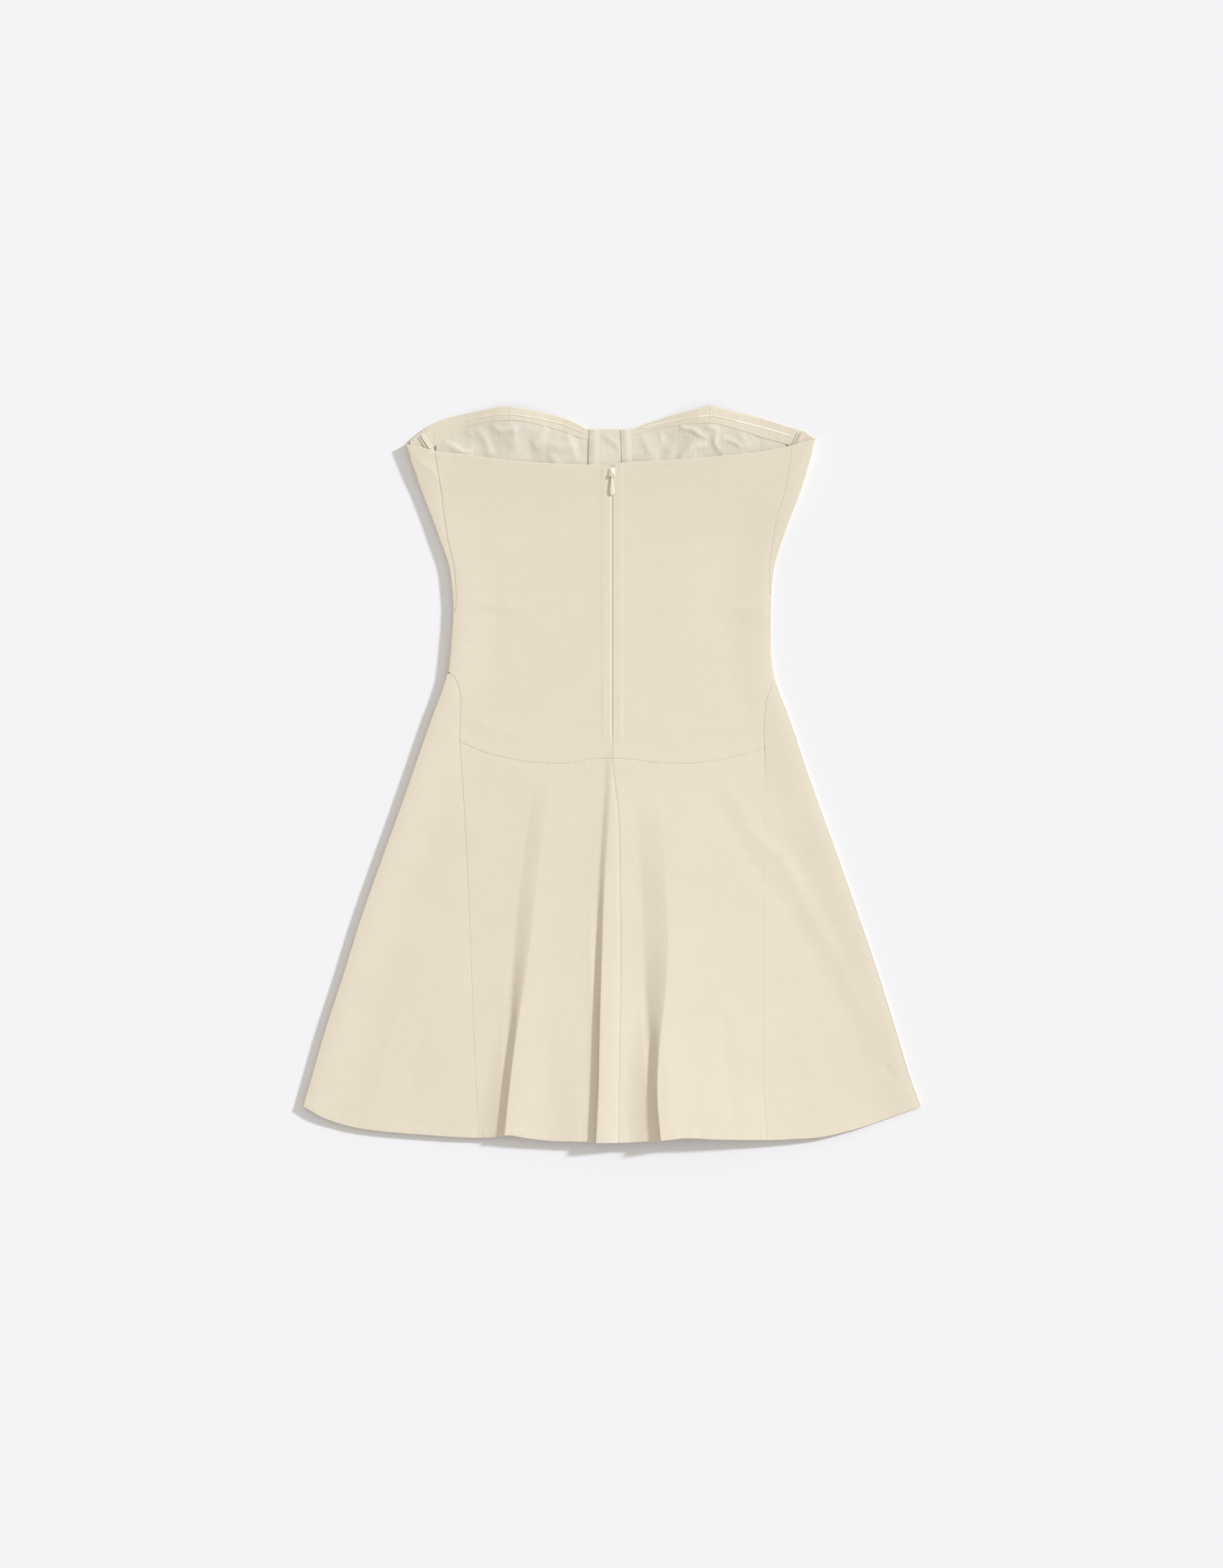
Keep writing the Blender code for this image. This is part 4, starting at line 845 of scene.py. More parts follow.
def woven(name, color, roughness, pitch, depth, sheen=0.0, twill=True):
    """Woven cloth: threads, slubs, and slow changes of colour."""
    made, tree, shader, place = nodes_for(name, color, roughness)
    shader.inputs["Specular IOR Level"].default_value = 0.22
    shader.inputs["Sheen Weight"].default_value = sheen
    shader.inputs["Sheen Roughness"].default_value = 0.45
    warp = bands(tree, place, pitch, 0.0)
    weft = bands(tree, place, pitch, 90.0)
    threads = math_node(tree, "MULTIPLY", warp, weft)
    if twill:
        rib = bands(tree, place, pitch * 1.9, 62.0)
        threads = math_node(tree, "ADD", math_node(tree, "MULTIPLY", threads, 0.5), math_node(tree, "MULTIPLY", rib, 0.5))
    cloud = noise(tree, place, 16.0, 4.0)
    slub = noise(tree, place, 900.0, 2.0, 0.6, (0.22, 1.0, 1.0))
    mottle = noise(tree, place, 260.0, 3.0, 0.6, (0.55, 1.0, 1.0))
    fuzz = noise(tree, place, 2600.0, 2.0)
    value = math_node(
        tree,
        "ADD",
        math_node(tree, "ADD", spread(tree, cloud, 0.0, 0.34), spread(tree, slub, 0.0, 0.26)),
        math_node(tree, "ADD", math_node(tree, "MULTIPLY", threads, 0.22), spread(tree, fuzz, 0.0, 0.18)),
    )
    value = math_node(tree, "ADD", value, spread(tree, mottle, -0.16, 0.16))
    if twill:
        # the cloth's colour is a little lighter low down: it grows lighter from y 260 mm to the drop waist, and stays
        # so over the whole skirt
        split = tree.nodes.new("ShaderNodeSeparateXYZ")
        tree.links.new(place.outputs["Object"], split.inputs["Vector"])
        lower = tree.nodes.new("ShaderNodeMapRange")
        lower.interpolation_type = "SMOOTHSTEP"
        lower.inputs["From Min"].default_value = 0.26
        lower.inputs["From Max"].default_value = 0.02
        lower.inputs["To Max"].default_value = 1.0
        tree.links.new(split.outputs["Y"], lower.inputs["Value"])
        value = math_node(tree, "ADD", value, math_node(tree, "MULTIPLY", lower.outputs["Result"], 0.12))
    warm = noise(tree, place, 22.0, 2.0)
    hue = tree.nodes.new("ShaderNodeMix")
    hue.data_type = "RGBA"
    hue.blend_type = "MULTIPLY"
    hue.inputs["Factor"].default_value = 1.0
    tree.links.new(tint(tree, color, (0.915, 0.905, 0.89), value), hue.inputs[6])
    tree.links.new(tint(tree, (1.004, 0.996, 0.996), (0.988, 1.007, 0.998), spread(tree, warm, 0.0, 1.0)), hue.inputs[7])
    tree.links.new(hue.outputs[2], shader.inputs["Base Color"])
    tree.links.new(spread(tree, slub, roughness - 0.05, roughness + 0.05), shader.inputs["Roughness"])
    first = bump(tree, shader, threads, depth, 0.8)
    second = bump(tree, shader, slub, depth * 1.6, 0.5, first)
    bump(tree, shader, cloud, 0.0012, 0.12, second)
    return made


def satin_cloth(name, color):
    made, tree, shader, place = nodes_for(name, color, 0.42)
    shader.inputs["Specular IOR Level"].default_value = 0.5
    shader.inputs["Sheen Weight"].default_value = 0.15
    shader.inputs["Sheen Roughness"].default_value = 0.3
    threads = bands(tree, place, 0.00018, 0.0)
    float_ = noise(tree, place, 1400.0, 2.0, 0.5, (1.0, 0.12, 1.0))
    cloud = noise(tree, place, 40.0, 3.0)
    value = math_node(tree, "ADD", spread(tree, cloud, -0.2, 0.9), spread(tree, float_, 0.0, 0.3))
    tree.links.new(tint(tree, color, (0.87, 0.875, 0.86), value), shader.inputs["Base Color"])
    tree.links.new(spread(tree, float_, 0.36, 0.48), shader.inputs["Roughness"])
    first = bump(tree, shader, threads, 0.00002, 0.5)
    bump(tree, shader, cloud, 0.002, 0.15, first)
    return made


TWILL_COLOR = (0.744, 0.670, 0.531)
TWILL = woven("twill_cloth", TWILL_COLOR, 0.86, 0.00042, 0.00003, 0.06)
SATIN = satin_cloth("satin_lining", (0.735, 0.680, 0.560))
TAPE = woven("zip_tape_cloth", (0.74, 0.66, 0.52), 0.8, 0.0006, 0.00005, 0.0, twill=False)


def plain(name, color, roughness, specular=0.5, metallic=0.0, coat=0.0, scale=300.0, dark=(0.9, 0.9, 0.9), lift=0.00003):
    made, tree, shader, place = nodes_for(name, color, roughness, metallic)
    shader.inputs["Specular IOR Level"].default_value = specular
    shader.inputs["Coat Weight"].default_value = coat
    shader.inputs["Coat Roughness"].default_value = 0.15
    cloud = noise(tree, place, scale, 3.0)
    tree.links.new(tint(tree, color, dark, spread(tree, cloud, 0.0, 1.0)), shader.inputs["Base Color"])
    tree.links.new(spread(tree, cloud, roughness - 0.04, roughness + 0.06), shader.inputs["Roughness"])
    bump(tree, shader, cloud, lift, 0.4)
    return made


THREAD = plain("sewing_thread", (0.82, 0.75, 0.63), 0.6, 0.4, scale=4000.0, dark=(0.85, 0.84, 0.82), lift=0.00005)
LACQUER = plain("slider_lacquer", (0.80, 0.725, 0.59), 0.28, 0.6, 0.0, 0.5, 900.0, (0.95, 0.94, 0.92), 0.00002)
COIL = plain("zip_coil", (0.70, 0.62, 0.48), 0.4, 0.5, scale=2000.0)


def clear_silicone():
    """Nearly clear silicone over the cloth. Where it catches the light along some of its length, that is a painted
    highlight: near-white colour painted into its base colour.
    """
    material, tree, shader, place = nodes_for("gripper_silicone", (0.755, 0.685, 0.55), 0.30)
    shader.inputs["Specular IOR Level"].default_value = 0.45
    split = tree.nodes.new("ShaderNodeSeparateXYZ")
    tree.links.new(place.outputs["Object"], split.inputs["Vector"])
    painted_highlight = None
    # painted highlight: the stretches of x, in metres, where near-white is painted over the silicone's colour, and how
    # strongly
    for low, high, share in ((0.0323, 0.0685, 0.62), (0.0856, 0.0955, 1.0), (0.1218, 0.1786, 0.95), (-0.150, -0.118, 0.10), (-0.088, -0.060, 0.12)):
        middle, half = (low + high) / 2, (high - low) / 2
        off = math_node(tree, "ABSOLUTE", math_node(tree, "SUBTRACT", split.outputs["X"], middle), 0.0)
        on = math_node(tree, "MULTIPLY", math_node(tree, "LESS_THAN", off, half), share)
        painted_highlight = on if painted_highlight is None else math_node(tree, "ADD", painted_highlight, on)
    speck = spread(tree, noise(tree, place, 700.0, 2.0), 0.35, 0.6)
    painted_highlight = math_node(tree, "MULTIPLY", painted_highlight, speck)
    # the painted highlight is mixed into the silicone's base colour here
    tree.links.new(tint(tree, (0.98, 0.97, 0.93), (0.77, 0.706, 0.59), painted_highlight), shader.inputs["Base Color"])
    return material


GRIP = clear_silicone()


# --------------------------------------------------------------- back and sides
VIS_WALL = 0.9
SEAM_GAP = 0.01


def shell(name, columns, to_x, bottom, top, shares, starts, place, facing, edges, node):
    across, up = rows_of(columns, to_x, bottom, top, shares, *starts)
    across, up = pulled(across, up, edges, SEAM_GAP)
    points = place(across, up)
    return walled(name, points, facing, VIS_WALL, TWILL, nodes=(node,), sewn=edges)


def upper_seam(side, front=False):
    def seam(y):
        point = GORE_POINT[side] + 0.8
        distance = wrap_q(side, gore_seam[side](y), y) * (-1.0 if front else 1.0)
        low = lerp(side_seam_q[side](point), distance, ramp(point - y, 0.0, 6.0))
        return np.where(y >= point, side_seam_q[side](y), low)

    return seam


def bodice_back(side):
    seam = upper_seam(side)
    inward = INWARD[side]

    def centre(y):
        parted = 3.0 * ramp(y, ZIP_HEAD, 306.0)
        return wrap_q(side, CENTRE_BACK - inward * parted, y)

    columns = between([seam, centre], [stations(160.0, 2.1)])
    rows = stations(290.0, 2.3)
    if side == "right":
        columns = columns[::-1]
    # the outside is the same for both sides, so the side's sign turns the right one's normals
    shell(
        f"cloth_bodice_back_{side}", columns, lambda q, y: wrap_x(side, q, y), lambda x, q: drop_waist(x),
        lambda x, q: back_top_edge(x), rows, (15.0, 310.0), wrap_place(side), 1.0, "lrb", f"bodice_back_{side}",
    )


def bodice_side(side):
    back = upper_seam(side, front=True)
    front = lambda y: -wrap_q(side, front_seam[f"side_{side}"](y), y)
    rim = lambda y: np.minimum(np.minimum(-4.2, front(y) * 0.25 + back(y) * 0.75), back(y) - 3.0)
    columns = between([front, rim, back], [stations(60.0, 3.0, high=False), stations(26.0, 0.9, low=False)])
    rows = stations(300.0, 2.3)
    if side == "right":
        columns = columns[::-1]

    def top(x, q):
        return np.where(q > 0, back_top_edge(x), neckline(x))

    shell(
        f"cloth_bodice_side_{side}", columns, lambda q, y: wrap_x(side, q, y), lambda x, q: drop_waist(x), top,
        rows, (15.0, 325.0), wrap_place(side), 1.0, "lrb", f"bodice_side_{side}",
    )


def bodice_front(name, low_x, high_x, width):
    columns = between([low_x, high_x], [stations(width, 3.0)])
    shell(
        f"cloth_{name}", columns, lambda x, y: x, lambda x, q: drop_waist(x), lambda x, q: neckline(x),
        stations(320.0, 3.0), (15.0, 345.0), front_place, -1.0, "lrb", name,
    )


def skirt_back(side):
    rows = stations(375.0, 2.3)
    shift = lambda line, d: (lambda y: line(y) + d)
    even = lambda n: [i / n for i in range(n + 1)]
    centre = centre_seam
    if side == "left":
        a, b = FOLD_LINES["fold_a"], FOLD_LINES["fold_b"]
        near = lambda d, room: (lambda y: np.minimum(b(y) + d, centre(y) - room))
        guides = [gore_seam["left"], shift(a, -20), shift(a, -4), shift(a, 3), shift(a, 12), near(-22, 25.0), near(-2, 4.5), near(5, 1.6), centre]
        shares = [stations(30.0, 2.2, high=False), even(12), even(14), even(5), even(20), even(14), even(16), stations(10.0, 1.0, low=False)]
    else:
        c = FOLD_LINES["fold_c"]
        guides = [centre, shift(c, -26), shift(c, -3), shift(c, 5), shift(c, 14), gore_seam["right"]]
        shares = [stations(20.0, 1.8, high=False), even(14), even(18), even(6), stations(90.0, 2.2, low=False)]
    shell(
        f"cloth_skirt_back_{side}", between(guides, shares), lambda x, y: x, lambda x, q: hem(x),
        lambda x, q: drop_waist(x), rows, (-355.0, 15.0), back_place, 1.0, "lrt", f"skirt_back_{side}",
    )


def skirt_side(side):
    top_y = GORE_POINT[side] - 0.5
    point = GORE_POINT[side]

    def width(y):
        reach = wrap_q(side, gore_seam[side](y), y)
        near = ramp(point + 0.8 - y, 0.0, 6.0)
        return np.maximum(0.9, lerp(0.9, reach, near))

    neck = lambda y: np.minimum(3.8, width(y) * 0.5)
    guides = [lambda y: -width(y), lambda y: -neck(y), neck, width]
    shares = [
        stations(100.0, 2.6, high=False), [i / 16 for i in range(17)], stations(100.0, 2.2, low=False)
    ]
    columns = between(guides, shares)
    if side == "right":
        columns = columns[::-1]

    def low(x, q):
        return hem(x) + FRONT_HEM_UP * ramp(-q, 0.0, 12.0)

    shell(
        f"cloth_skirt_side_{side}", columns, lambda q, y: wrap_x(side, q, y), low, lambda x, q: top_y + 0 * x,
        stations(450.0, 2.5), (-345.0, top_y), wrap_place(side), 1.0, "lr", f"skirt_side_{side}",
    )


def skirt_front():
    columns = between([gore_seam["left"], gore_seam["right"]], [stations(300.0, 3.0)])
    shell(
        "cloth_skirt_front", columns, lambda x, y: x, lambda x, q: hem(x) + FRONT_HEM_UP,
        lambda x, q: drop_waist(x), stations(373.0, 3.0), (-355.0, 15.0), front_place, -1.0, "lrt", "skirt_front",
    )


for _side in ("left", "right"):
    bodice_back(_side)
    bodice_side(_side)
    skirt_back(_side)
    skirt_side(_side)
bodice_front("bodice_front_outer_left", front_seam["side_left"], front_seam["apex_left"], 60.0)
bodice_front("bodice_front_inner_left", front_seam["apex_left"], front_seam["centre_left"], 65.0)
bodice_front("bodice_front_centre", front_seam["centre_left"], front_seam["centre_right"], 55.0)
bodice_front("bodice_front_inner_right", front_seam["centre_right"], front_seam["apex_right"], 65.0)
bodice_front("bodice_front_outer_right", front_seam["apex_right"], front_seam["side_right"], 60.0)
skirt_front()


# ----------------------------------------------------- layers inside the front
LAYER_1 = 1.55  # lower side of the facing and lining, above the front's outside
LAYER_2 = LAYER_1 + 1.3

# Creases of the satin and of the facing, in the strip that shows.
SATIN_CREASES = [
    # name, height, half width, line of points
    ("left ridge", 0.9, 3.4, (-120.4, 345.5), (-110.4, 339.4), (-94.6, 341.6)),
    ("left ridge 2", 0.5, 3.2, (-96.0, 345.0), (-97.4, 329.0)),
    ("left diagonal", 0.9, 4.6, (-80.0, 326.0), (-64.0, 343.0)),
    ("left sweep", 0.9, 5.5, (-90.0, 318.0), (-66.0, 326.0), (-36.0, 322.0)),
    ("left low", 0.6, 4.6, (-64.0, 320.0), (-52.0, 302.0)),
    ("left dent", -1.3, 6.5, (-92.0, 340.0), (-84.0, 322.0), (-76.0, 304.0)),
    ("left dent 2", -1.3, 6.5, (-116.0, 334.0), (-106.0, 314.0)),
    ("left fan 1", 0.8, 4.4, (-134.0, 342.0), (-124.0, 328.0), (-120.0, 314.0)),
    ("left fan 2", -1.0, 6.5, (-142.0, 336.0), (-150.0, 322.0)),
    ("left fan 3", 0.6, 4.2, (-46.0, 338.0), (-38.0, 322.0), (-36.0, 308.0)),
    ("left corner", 0.7, 4.0, (-168.0, 329.0), (-150.0, 320.0), (-138.0, 318.0)),
    ("right ridge", 1.1, 2.9, (66.0, 343.2), (79.9, 340.4), (88.0, 335.0), (94.7, 333.0)),
    ("right top", 0.7, 2.4, (92.0, 342.6), (106.0, 341.6)),
    ("right upright", 1.0, 3.0, (103.7, 340.0), (101.3, 329.1), (106.9, 316.4)),
    ("right sweep", 1.0, 3.8, (94.0, 325.8), (78.3, 322.7), (68.2, 314.9), (64.7, 306.0)),
    ("right small", 0.8, 2.8, (104.7, 326.7), (111.8, 331.2), (119.5, 329.4), (130.0, 322.0)),
    ("right dent", -1.1, 4.2, (57.0, 336.0), (45.5, 308.0)),
    ("right dent 2", -1.1, 4.0, (72.6, 334.0), (59.7, 308.0)),
    ("right pocket", -1.4, 6.0, (82.0, 314.0), (108.0, 315.0)),
    ("right fan", 0.6, 4.4, (30.0, 338.0), (37.0, 316.0)),
    ("right fan 1", 0.5, 3.6, (46.0, 342.0), (54.0, 318.0)),
    ("right fan 2", 0.7, 4.6, (126.0, 338.0), (134.0, 322.0)),
    ("right fan 3", -0.7, 5.0, (140.0, 334.0), (148.0, 324.0)),
    ("bridge 1", 0.45, 3.2, (-12.0, 338.0), (2.0, 329.0), (8.0, 318.0)),
    ("bridge 2", -0.5, 3.2, (-10.0, 326.0), (6.0, 320.0)),
]


def puffed(z):
    """Creases that lift the loose satin, and never press it down into the front."""
    return 0.35 * np.log1p(np.exp(np.clip((z + 0.25) / 0.35, -30.0, 30.0))) - 0.05


def inside_detail(x, y, satin):
    d = neckline(x) - y
    z = -0.10 * np.exp(-(((d - 1.6) / 0.5) ** 2)) + 0.05 * waver(x, 2.2, 14.0)
    if satin:
        z = z + puffed(creases(x, y, SATIN_CREASES)) + 0.12 * waver(x + 0.5 * y, 1.1, 27.0) * waver(y - 0.3 * x, 0.6, 33.0)
    else:
        z = z + 0.04 * waver(x - 0.7 * y, 1.4, 19.0)
        z = z + 0.12 * (1 - ramp(np.abs(x + 103.0), 0.0, 0.9)) * -1.0 - 0.12 * (1 - ramp(np.abs(x - 95.5), 0.0, 0.9))
    return z


def lift_place(lift, satin=False):
    def place(x, y):
        z = front_height(x, y) + lift + inside_detail(x, y, satin)
        return np.stack([x, y + 0 * x, z], -1)

    return place


def layer(name, x_low, x_high, bottom, top, lift, wall, look, node, step=1.5, edges="lr", satin=False):
    """A layer on the front's inside, its upper side lift plus wall above the front's outside."""
    fixed = lambda value: (lambda y: value + 0 * np.asarray(y, float))
    columns = between([fixed(x_low), fixed(x_high)], [stations(x_high - x_low, step)])
    across, up = rows_of(
        columns, lambda x, y: x, lambda x, q: bottom(x), lambda x, q: top(x), stations(40.0, step), 320.0, 345.0
    )
    across, up = pulled(across, up, edges, SEAM_GAP)
    points = lift_place(lift + wall, satin)(across, up)
    return walled(name, points, 1.0, wall, look, nodes=(node,), sewn=edges)


under_rim = lambda x: neckline(x) - 0.6
lining_foot = lambda x: back_top_edge(x) - LINING_BELOW
side_low = lambda x: back_top_edge(x) - 9.0
facing_low = lambda x: np.maximum(facing_edge(x), lining_foot(x))
FACINGS = [
    # node, x low, x high
    ("facing_side_left", -200.0, -184.0, side_low),
    ("facing_outer_left", -184.0, -103.0, facing_low),
    ("facing_inner_left", -103.0, -22.6, facing_edge),
    ("facing_inner_right", 18.3, 95.5, facing_edge),
    ("facing_outer_right", 95.5, 182.0, facing_low),
    ("facing_side_right", 182.0, 195.0, side_low),
]
for _name, _low, _high, _foot in FACINGS:
    layer(f"cloth_{_name}", _low, _high, _foot, under_rim, LAYER_1, 0.8, TWILL, _name)
below_facing = lambda x: facing_edge(x) + 1.2
LININGS = [
    ("lining_outer_left", -174.0, -101.0, below_facing),
    ("lining_inner_left", -101.0, -22.6, below_facing),
    ("lining_bridge", -22.6, 18.3, under_rim),
    ("lining_inner_right", 18.3, 94.6, below_facing),
    ("lining_outer_right", 94.6, 172.0, below_facing),
]
for _name, _low, _high, _top in LININGS:
    _lift = LAYER_1 - (0.0 if _name == "lining_bridge" else 0.35)
    layer(f"cloth_{_name}", _low, _high, lining_foot, _top, _lift, 0.5, SATIN, _name, 0.9, satin=True)


def strip(name, x_high, y_high, x_low, y_low, width, look, node, crown=0.24):
    """A boning channel: a narrow tube, crowned over its bone, with a low stitched edge on each side."""
    start, end = np.array([x_high, y_high]), np.array([x_low, y_low])
    run = (end - start) / np.linalg.norm(end - start)
    side = np.array([-run[1], run[0]])
    v = stations(width, 0.4)
    u = stations(float(np.linalg.norm(end - start)), 1.2)
    offset = (v - 0.5) * width
    spot = end[None, None] + (start - end)[None, None] * u[None, :, None] + side[None, None] * offset[:, None, None]
    x, y = spot[..., 0], spot[..., 1]
    over = np.abs(offset)[:, None] / (width / 2)
    bone = crown * (1 - ramp(over, 0.30, 0.80)) - 0.10 * np.exp(-(((over - 0.80) / 0.08) ** 2))
    wave = 0.06 * waver(u[None, :] * 40.0 + 3 * over, 2.0, 9.0)
    z = front_height(x, y) + LAYER_1 + 0.85 + 0.5 + bone + wave
    return walled(name, np.stack([x, y, z], -1), 1.0, 0.5, look, nodes=(node,))


BONES = [
    strip("channel_centre_left", -17.6, 341.0, -18.9, 296.0, BONE_WIDTH, SATIN, "bone_channel_centre_left"),
    strip("channel_centre_right", 13.4, 341.0, 14.9, 297.5, BONE_WIDTH, SATIN, "bone_channel_centre_right"),
    strip("channel_side_left", -189.2, 335.2, -177.0, 316.0, SIDE_BONE_WIDTH, TWILL, "bone_channel_side_left", 0.25),
    strip("channel_side_right", 186.6, 337.5, 179.0, 320.5, SIDE_BONE_WIDTH, TWILL, "bone_channel_side_right", 0.25),
]


GRIP_HALF = 0.75


def gripper(name, x_low, x_high, node):
    fixed = lambda value: (lambda y: value + 0 * np.asarray(y, float))
    middle = lambda x: lerp(facing_edge(x), neckline(x), 0.42 + 0.10 * np.clip((np.abs(np.abs(x) - 95.0) - 6.0) / 45.0, 0.0, 1.0))
    columns = between([fixed(x_low), fixed(x_high)], [stations(x_high - x_low, 1.3)])
    across, up = rows_of(
        columns, lambda x, y: x, lambda x, q: middle(x) - GRIP_HALF, lambda x, q: middle(x) + GRIP_HALF, np.linspace(0, 1, 9), 340.0, 345.0
    )
    v = (up - up[:, :1]) / GRIP_HALF - 1
    z = front_height(across, up) + inside_detail(across, up, False) + LAYER_1 + 0.85 + 0.16 * np.sqrt(np.clip(1 - v**2, 0, 1)) + 0.03
    return walled(name, np.stack([across, up, z], -1), 1.0, 0.12, GRIP, nodes=(node,), roll=False)


GRIPS = [
    gripper("grip_left", -176.0, -30.0, "gripper_tape_left"),
    gripper("grip_right", 30.0, 176.0, "gripper_tape_right"),
]


# ------------------------------------------------------------- zip and stitches
def solid(name, verts, faces, look, body="dress", nodes=()):
    """A closed mesh from points in mm and faces."""
    mesh = bpy.data.meshes.new(name)
    mesh.from_pydata((np.asarray(verts, float) * MM).tolist(), [], [tuple(f) for f in faces])
    mesh.shade_smooth()
    mesh.update()
    piece = bpy.data.objects.new(name, mesh)
    bpy.context.scene.collection.objects.link(piece)
    mesh.materials.append(look)
    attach(piece, body)
    if nodes:
        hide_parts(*nodes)
    return piece


def lofted(rings):
    """Verts and faces of a body through closed rings of points, capped at both ends."""
    rings = [np.asarray(r, float) for r in rings]
    k = len(rings[0])
    verts = [p for ring in rings for p in ring]
    faces = []
    for j in range(len(rings) - 1):
        for i in range(k):
            a, b = j * k + i, j * k + (i + 1) % k
            faces.append((a, b, b + k, a + k))
    for ring, base, flip in ((rings[0], 0, True), (rings[-1], (len(rings) - 1) * k, False)):
        verts.append(ring.mean(0))
        tip = len(verts) - 1
        for i in range(k):
            a, b = base + i, base + (i + 1) % k
            faces.append((b, a, tip) if flip else (a, b, tip))
    return verts, faces


def joined(*bodies):
    verts, faces = [], []
    for v, f in bodies:
        base = len(verts)
        verts += list(v)
        faces += [tuple(i + base for i in face) for face in f]
    return verts, faces


def oval(cx, y, cz, half_x, half_z, power=2.6, count=28, flat_low=1.0):
    """A rounded ring across the zip, at one y."""
    points = []
    for i in range(count):
        t = 2 * math.pi * i / count
        c, s = math.cos(t), math.sin(t)
        dx = math.copysign(abs(c) ** (2 / power), c) * half_x
        dz = math.copysign(abs(s) ** (2 / power), s) * half_z
        points.append((cx + dx, y, cz + (dz if s > 0 else dz * flat_low)))
    return points


def round_bar(x_low, x_high, y, z, radius, count=20):
    rings = []
    for x, r in ((x_low, radius * 0.8), (x_low + 0.12, radius), (x_high - 0.12, radius), (x_high, radius * 0.8)):
        rings.append([(x, y + r * math.cos(2 * math.pi * i / count), z + r * math.sin(2 * math.pi * i / count)) for i in range(count)])
    return lofted(rings)


SLIDER_FLOOR = float(back_height(np.float64(CENTRE_BACK), np.float64(303.0))) + 0.3
HINGE_Y = 294.6
HINGE_Z = SLIDER_FLOOR + 1.25 + 0.1


def make_slider():
    cx = CENTRE_BACK - 0.2
    rings = []
    for y, half, high in (
        (303.4, 1.9, 0.2), (303.2, 2.4, 0.4), (302.6, 2.8, 0.56), (301.4, 3.05, 0.64), (299.6, 3.15, 0.68),
        (297.8, 3.15, 0.68), (296.2, 3.0, 0.64), (295.0, 2.75, 0.56), (294.3, 2.4, 0.42), (294.0, 1.9, 0.22),
    ):
        rings.append(oval(cx, y, SLIDER_FLOOR + 0.35, half, high, 3.2))
    body = lofted(rings)
    # a raised bridge along the body's middle
    rings = []
    for y, half, high in ((302.4, 0.5, 0.2), (301.8, 1.1, 0.55), (300.4, 1.35, 0.85), (298.6, 1.4, 0.95), (297.2, 1.35, 0.9), (296.4, 1.1, 0.6), (296.0, 0.6, 0.3)):
        rings.append(oval(cx, y, SLIDER_FLOOR + 0.85, half, high, 2.4))
    bridge = lofted(rings)
    ears = []
    for sign in (-1, 1):
        x = CENTRE_BACK + sign * 1.9
        rings = []
        for y, half, high in ((297.6, 0.3, 0.3), (297.2, 0.42, 0.7), (296.0, 0.45, 0.95), (294.8, 0.45, 0.95), (294.0, 0.42, 0.7), (293.7, 0.3, 0.35)):
            rings.append(oval(x, y, HINGE_Z - 0.35, half, high, 2.6, 16))
        ears.append(lofted(rings))
    pin = round_bar(CENTRE_BACK - 2.2, CENTRE_BACK + 2.2, HINGE_Y, HINGE_Z, 0.42)
    verts, faces = joined(body, bridge, *ears, pin)
    return solid("slider_body", verts, faces, LACQUER, nodes=("zip_slider",))


def make_pull():
    """The teardrop: an eye on the pin and a crowned blade that lies down on the cloth."""
    rings = []
    steps = 34
    for i in range(steps + 1):
        t = i / steps
        y = HINGE_Y - 0.75 - t * 18.2
        half = lerp(0.95, 2.35, float(ramp(t, 0.05, 0.74)))
        if t > 0.8:
            half *= math.sqrt(max(0.0, 1 - ((t - 0.8) / 0.2) ** 2)) * 0.96 + 0.04
        thick = lerp(0.62, 0.52, t) * (1.0 if t < 0.86 else math.sqrt(max(0.02, 1 - ((t - 0.86) / 0.145) ** 2)))
        thick = max(thick, 0.1) * (0.6 if i == 0 else 1.0)
        rings.append(oval(CENTRE_BACK + 0.25 * t, y, HINGE_Z - 0.55 - 0.35 * t, max(half, 0.2), thick, 2.3, 24))
    blade = lofted(rings)
    # the eye: a ring round the pin
    around, tube = 26, 10
    verts, faces = [], []
    for i in range(around):
        a = 2 * math.pi * i / around
        for j in range(tube):
            b = 2 * math.pi * j / tube
            r = 0.98 + 0.30 * math.cos(b)
            verts.append((CENTRE_BACK + 0.85 * math.sin(b), HINGE_Y + r * math.cos(a), HINGE_Z + r * math.sin(a)))
    for i in range(around):
        for j in range(tube):
            a, b = i * tube + j, i * tube + (j + 1) % tube
            c, d = ((i + 1) % around) * tube + j, ((i + 1) % around) * tube + (j + 1) % tube
            faces.append((a, c, d, b))
    verts, faces = joined(blade, (verts, faces))
    return solid("pull_tab", verts, faces, LACQUER, body="pull", nodes=("zip_pull",))


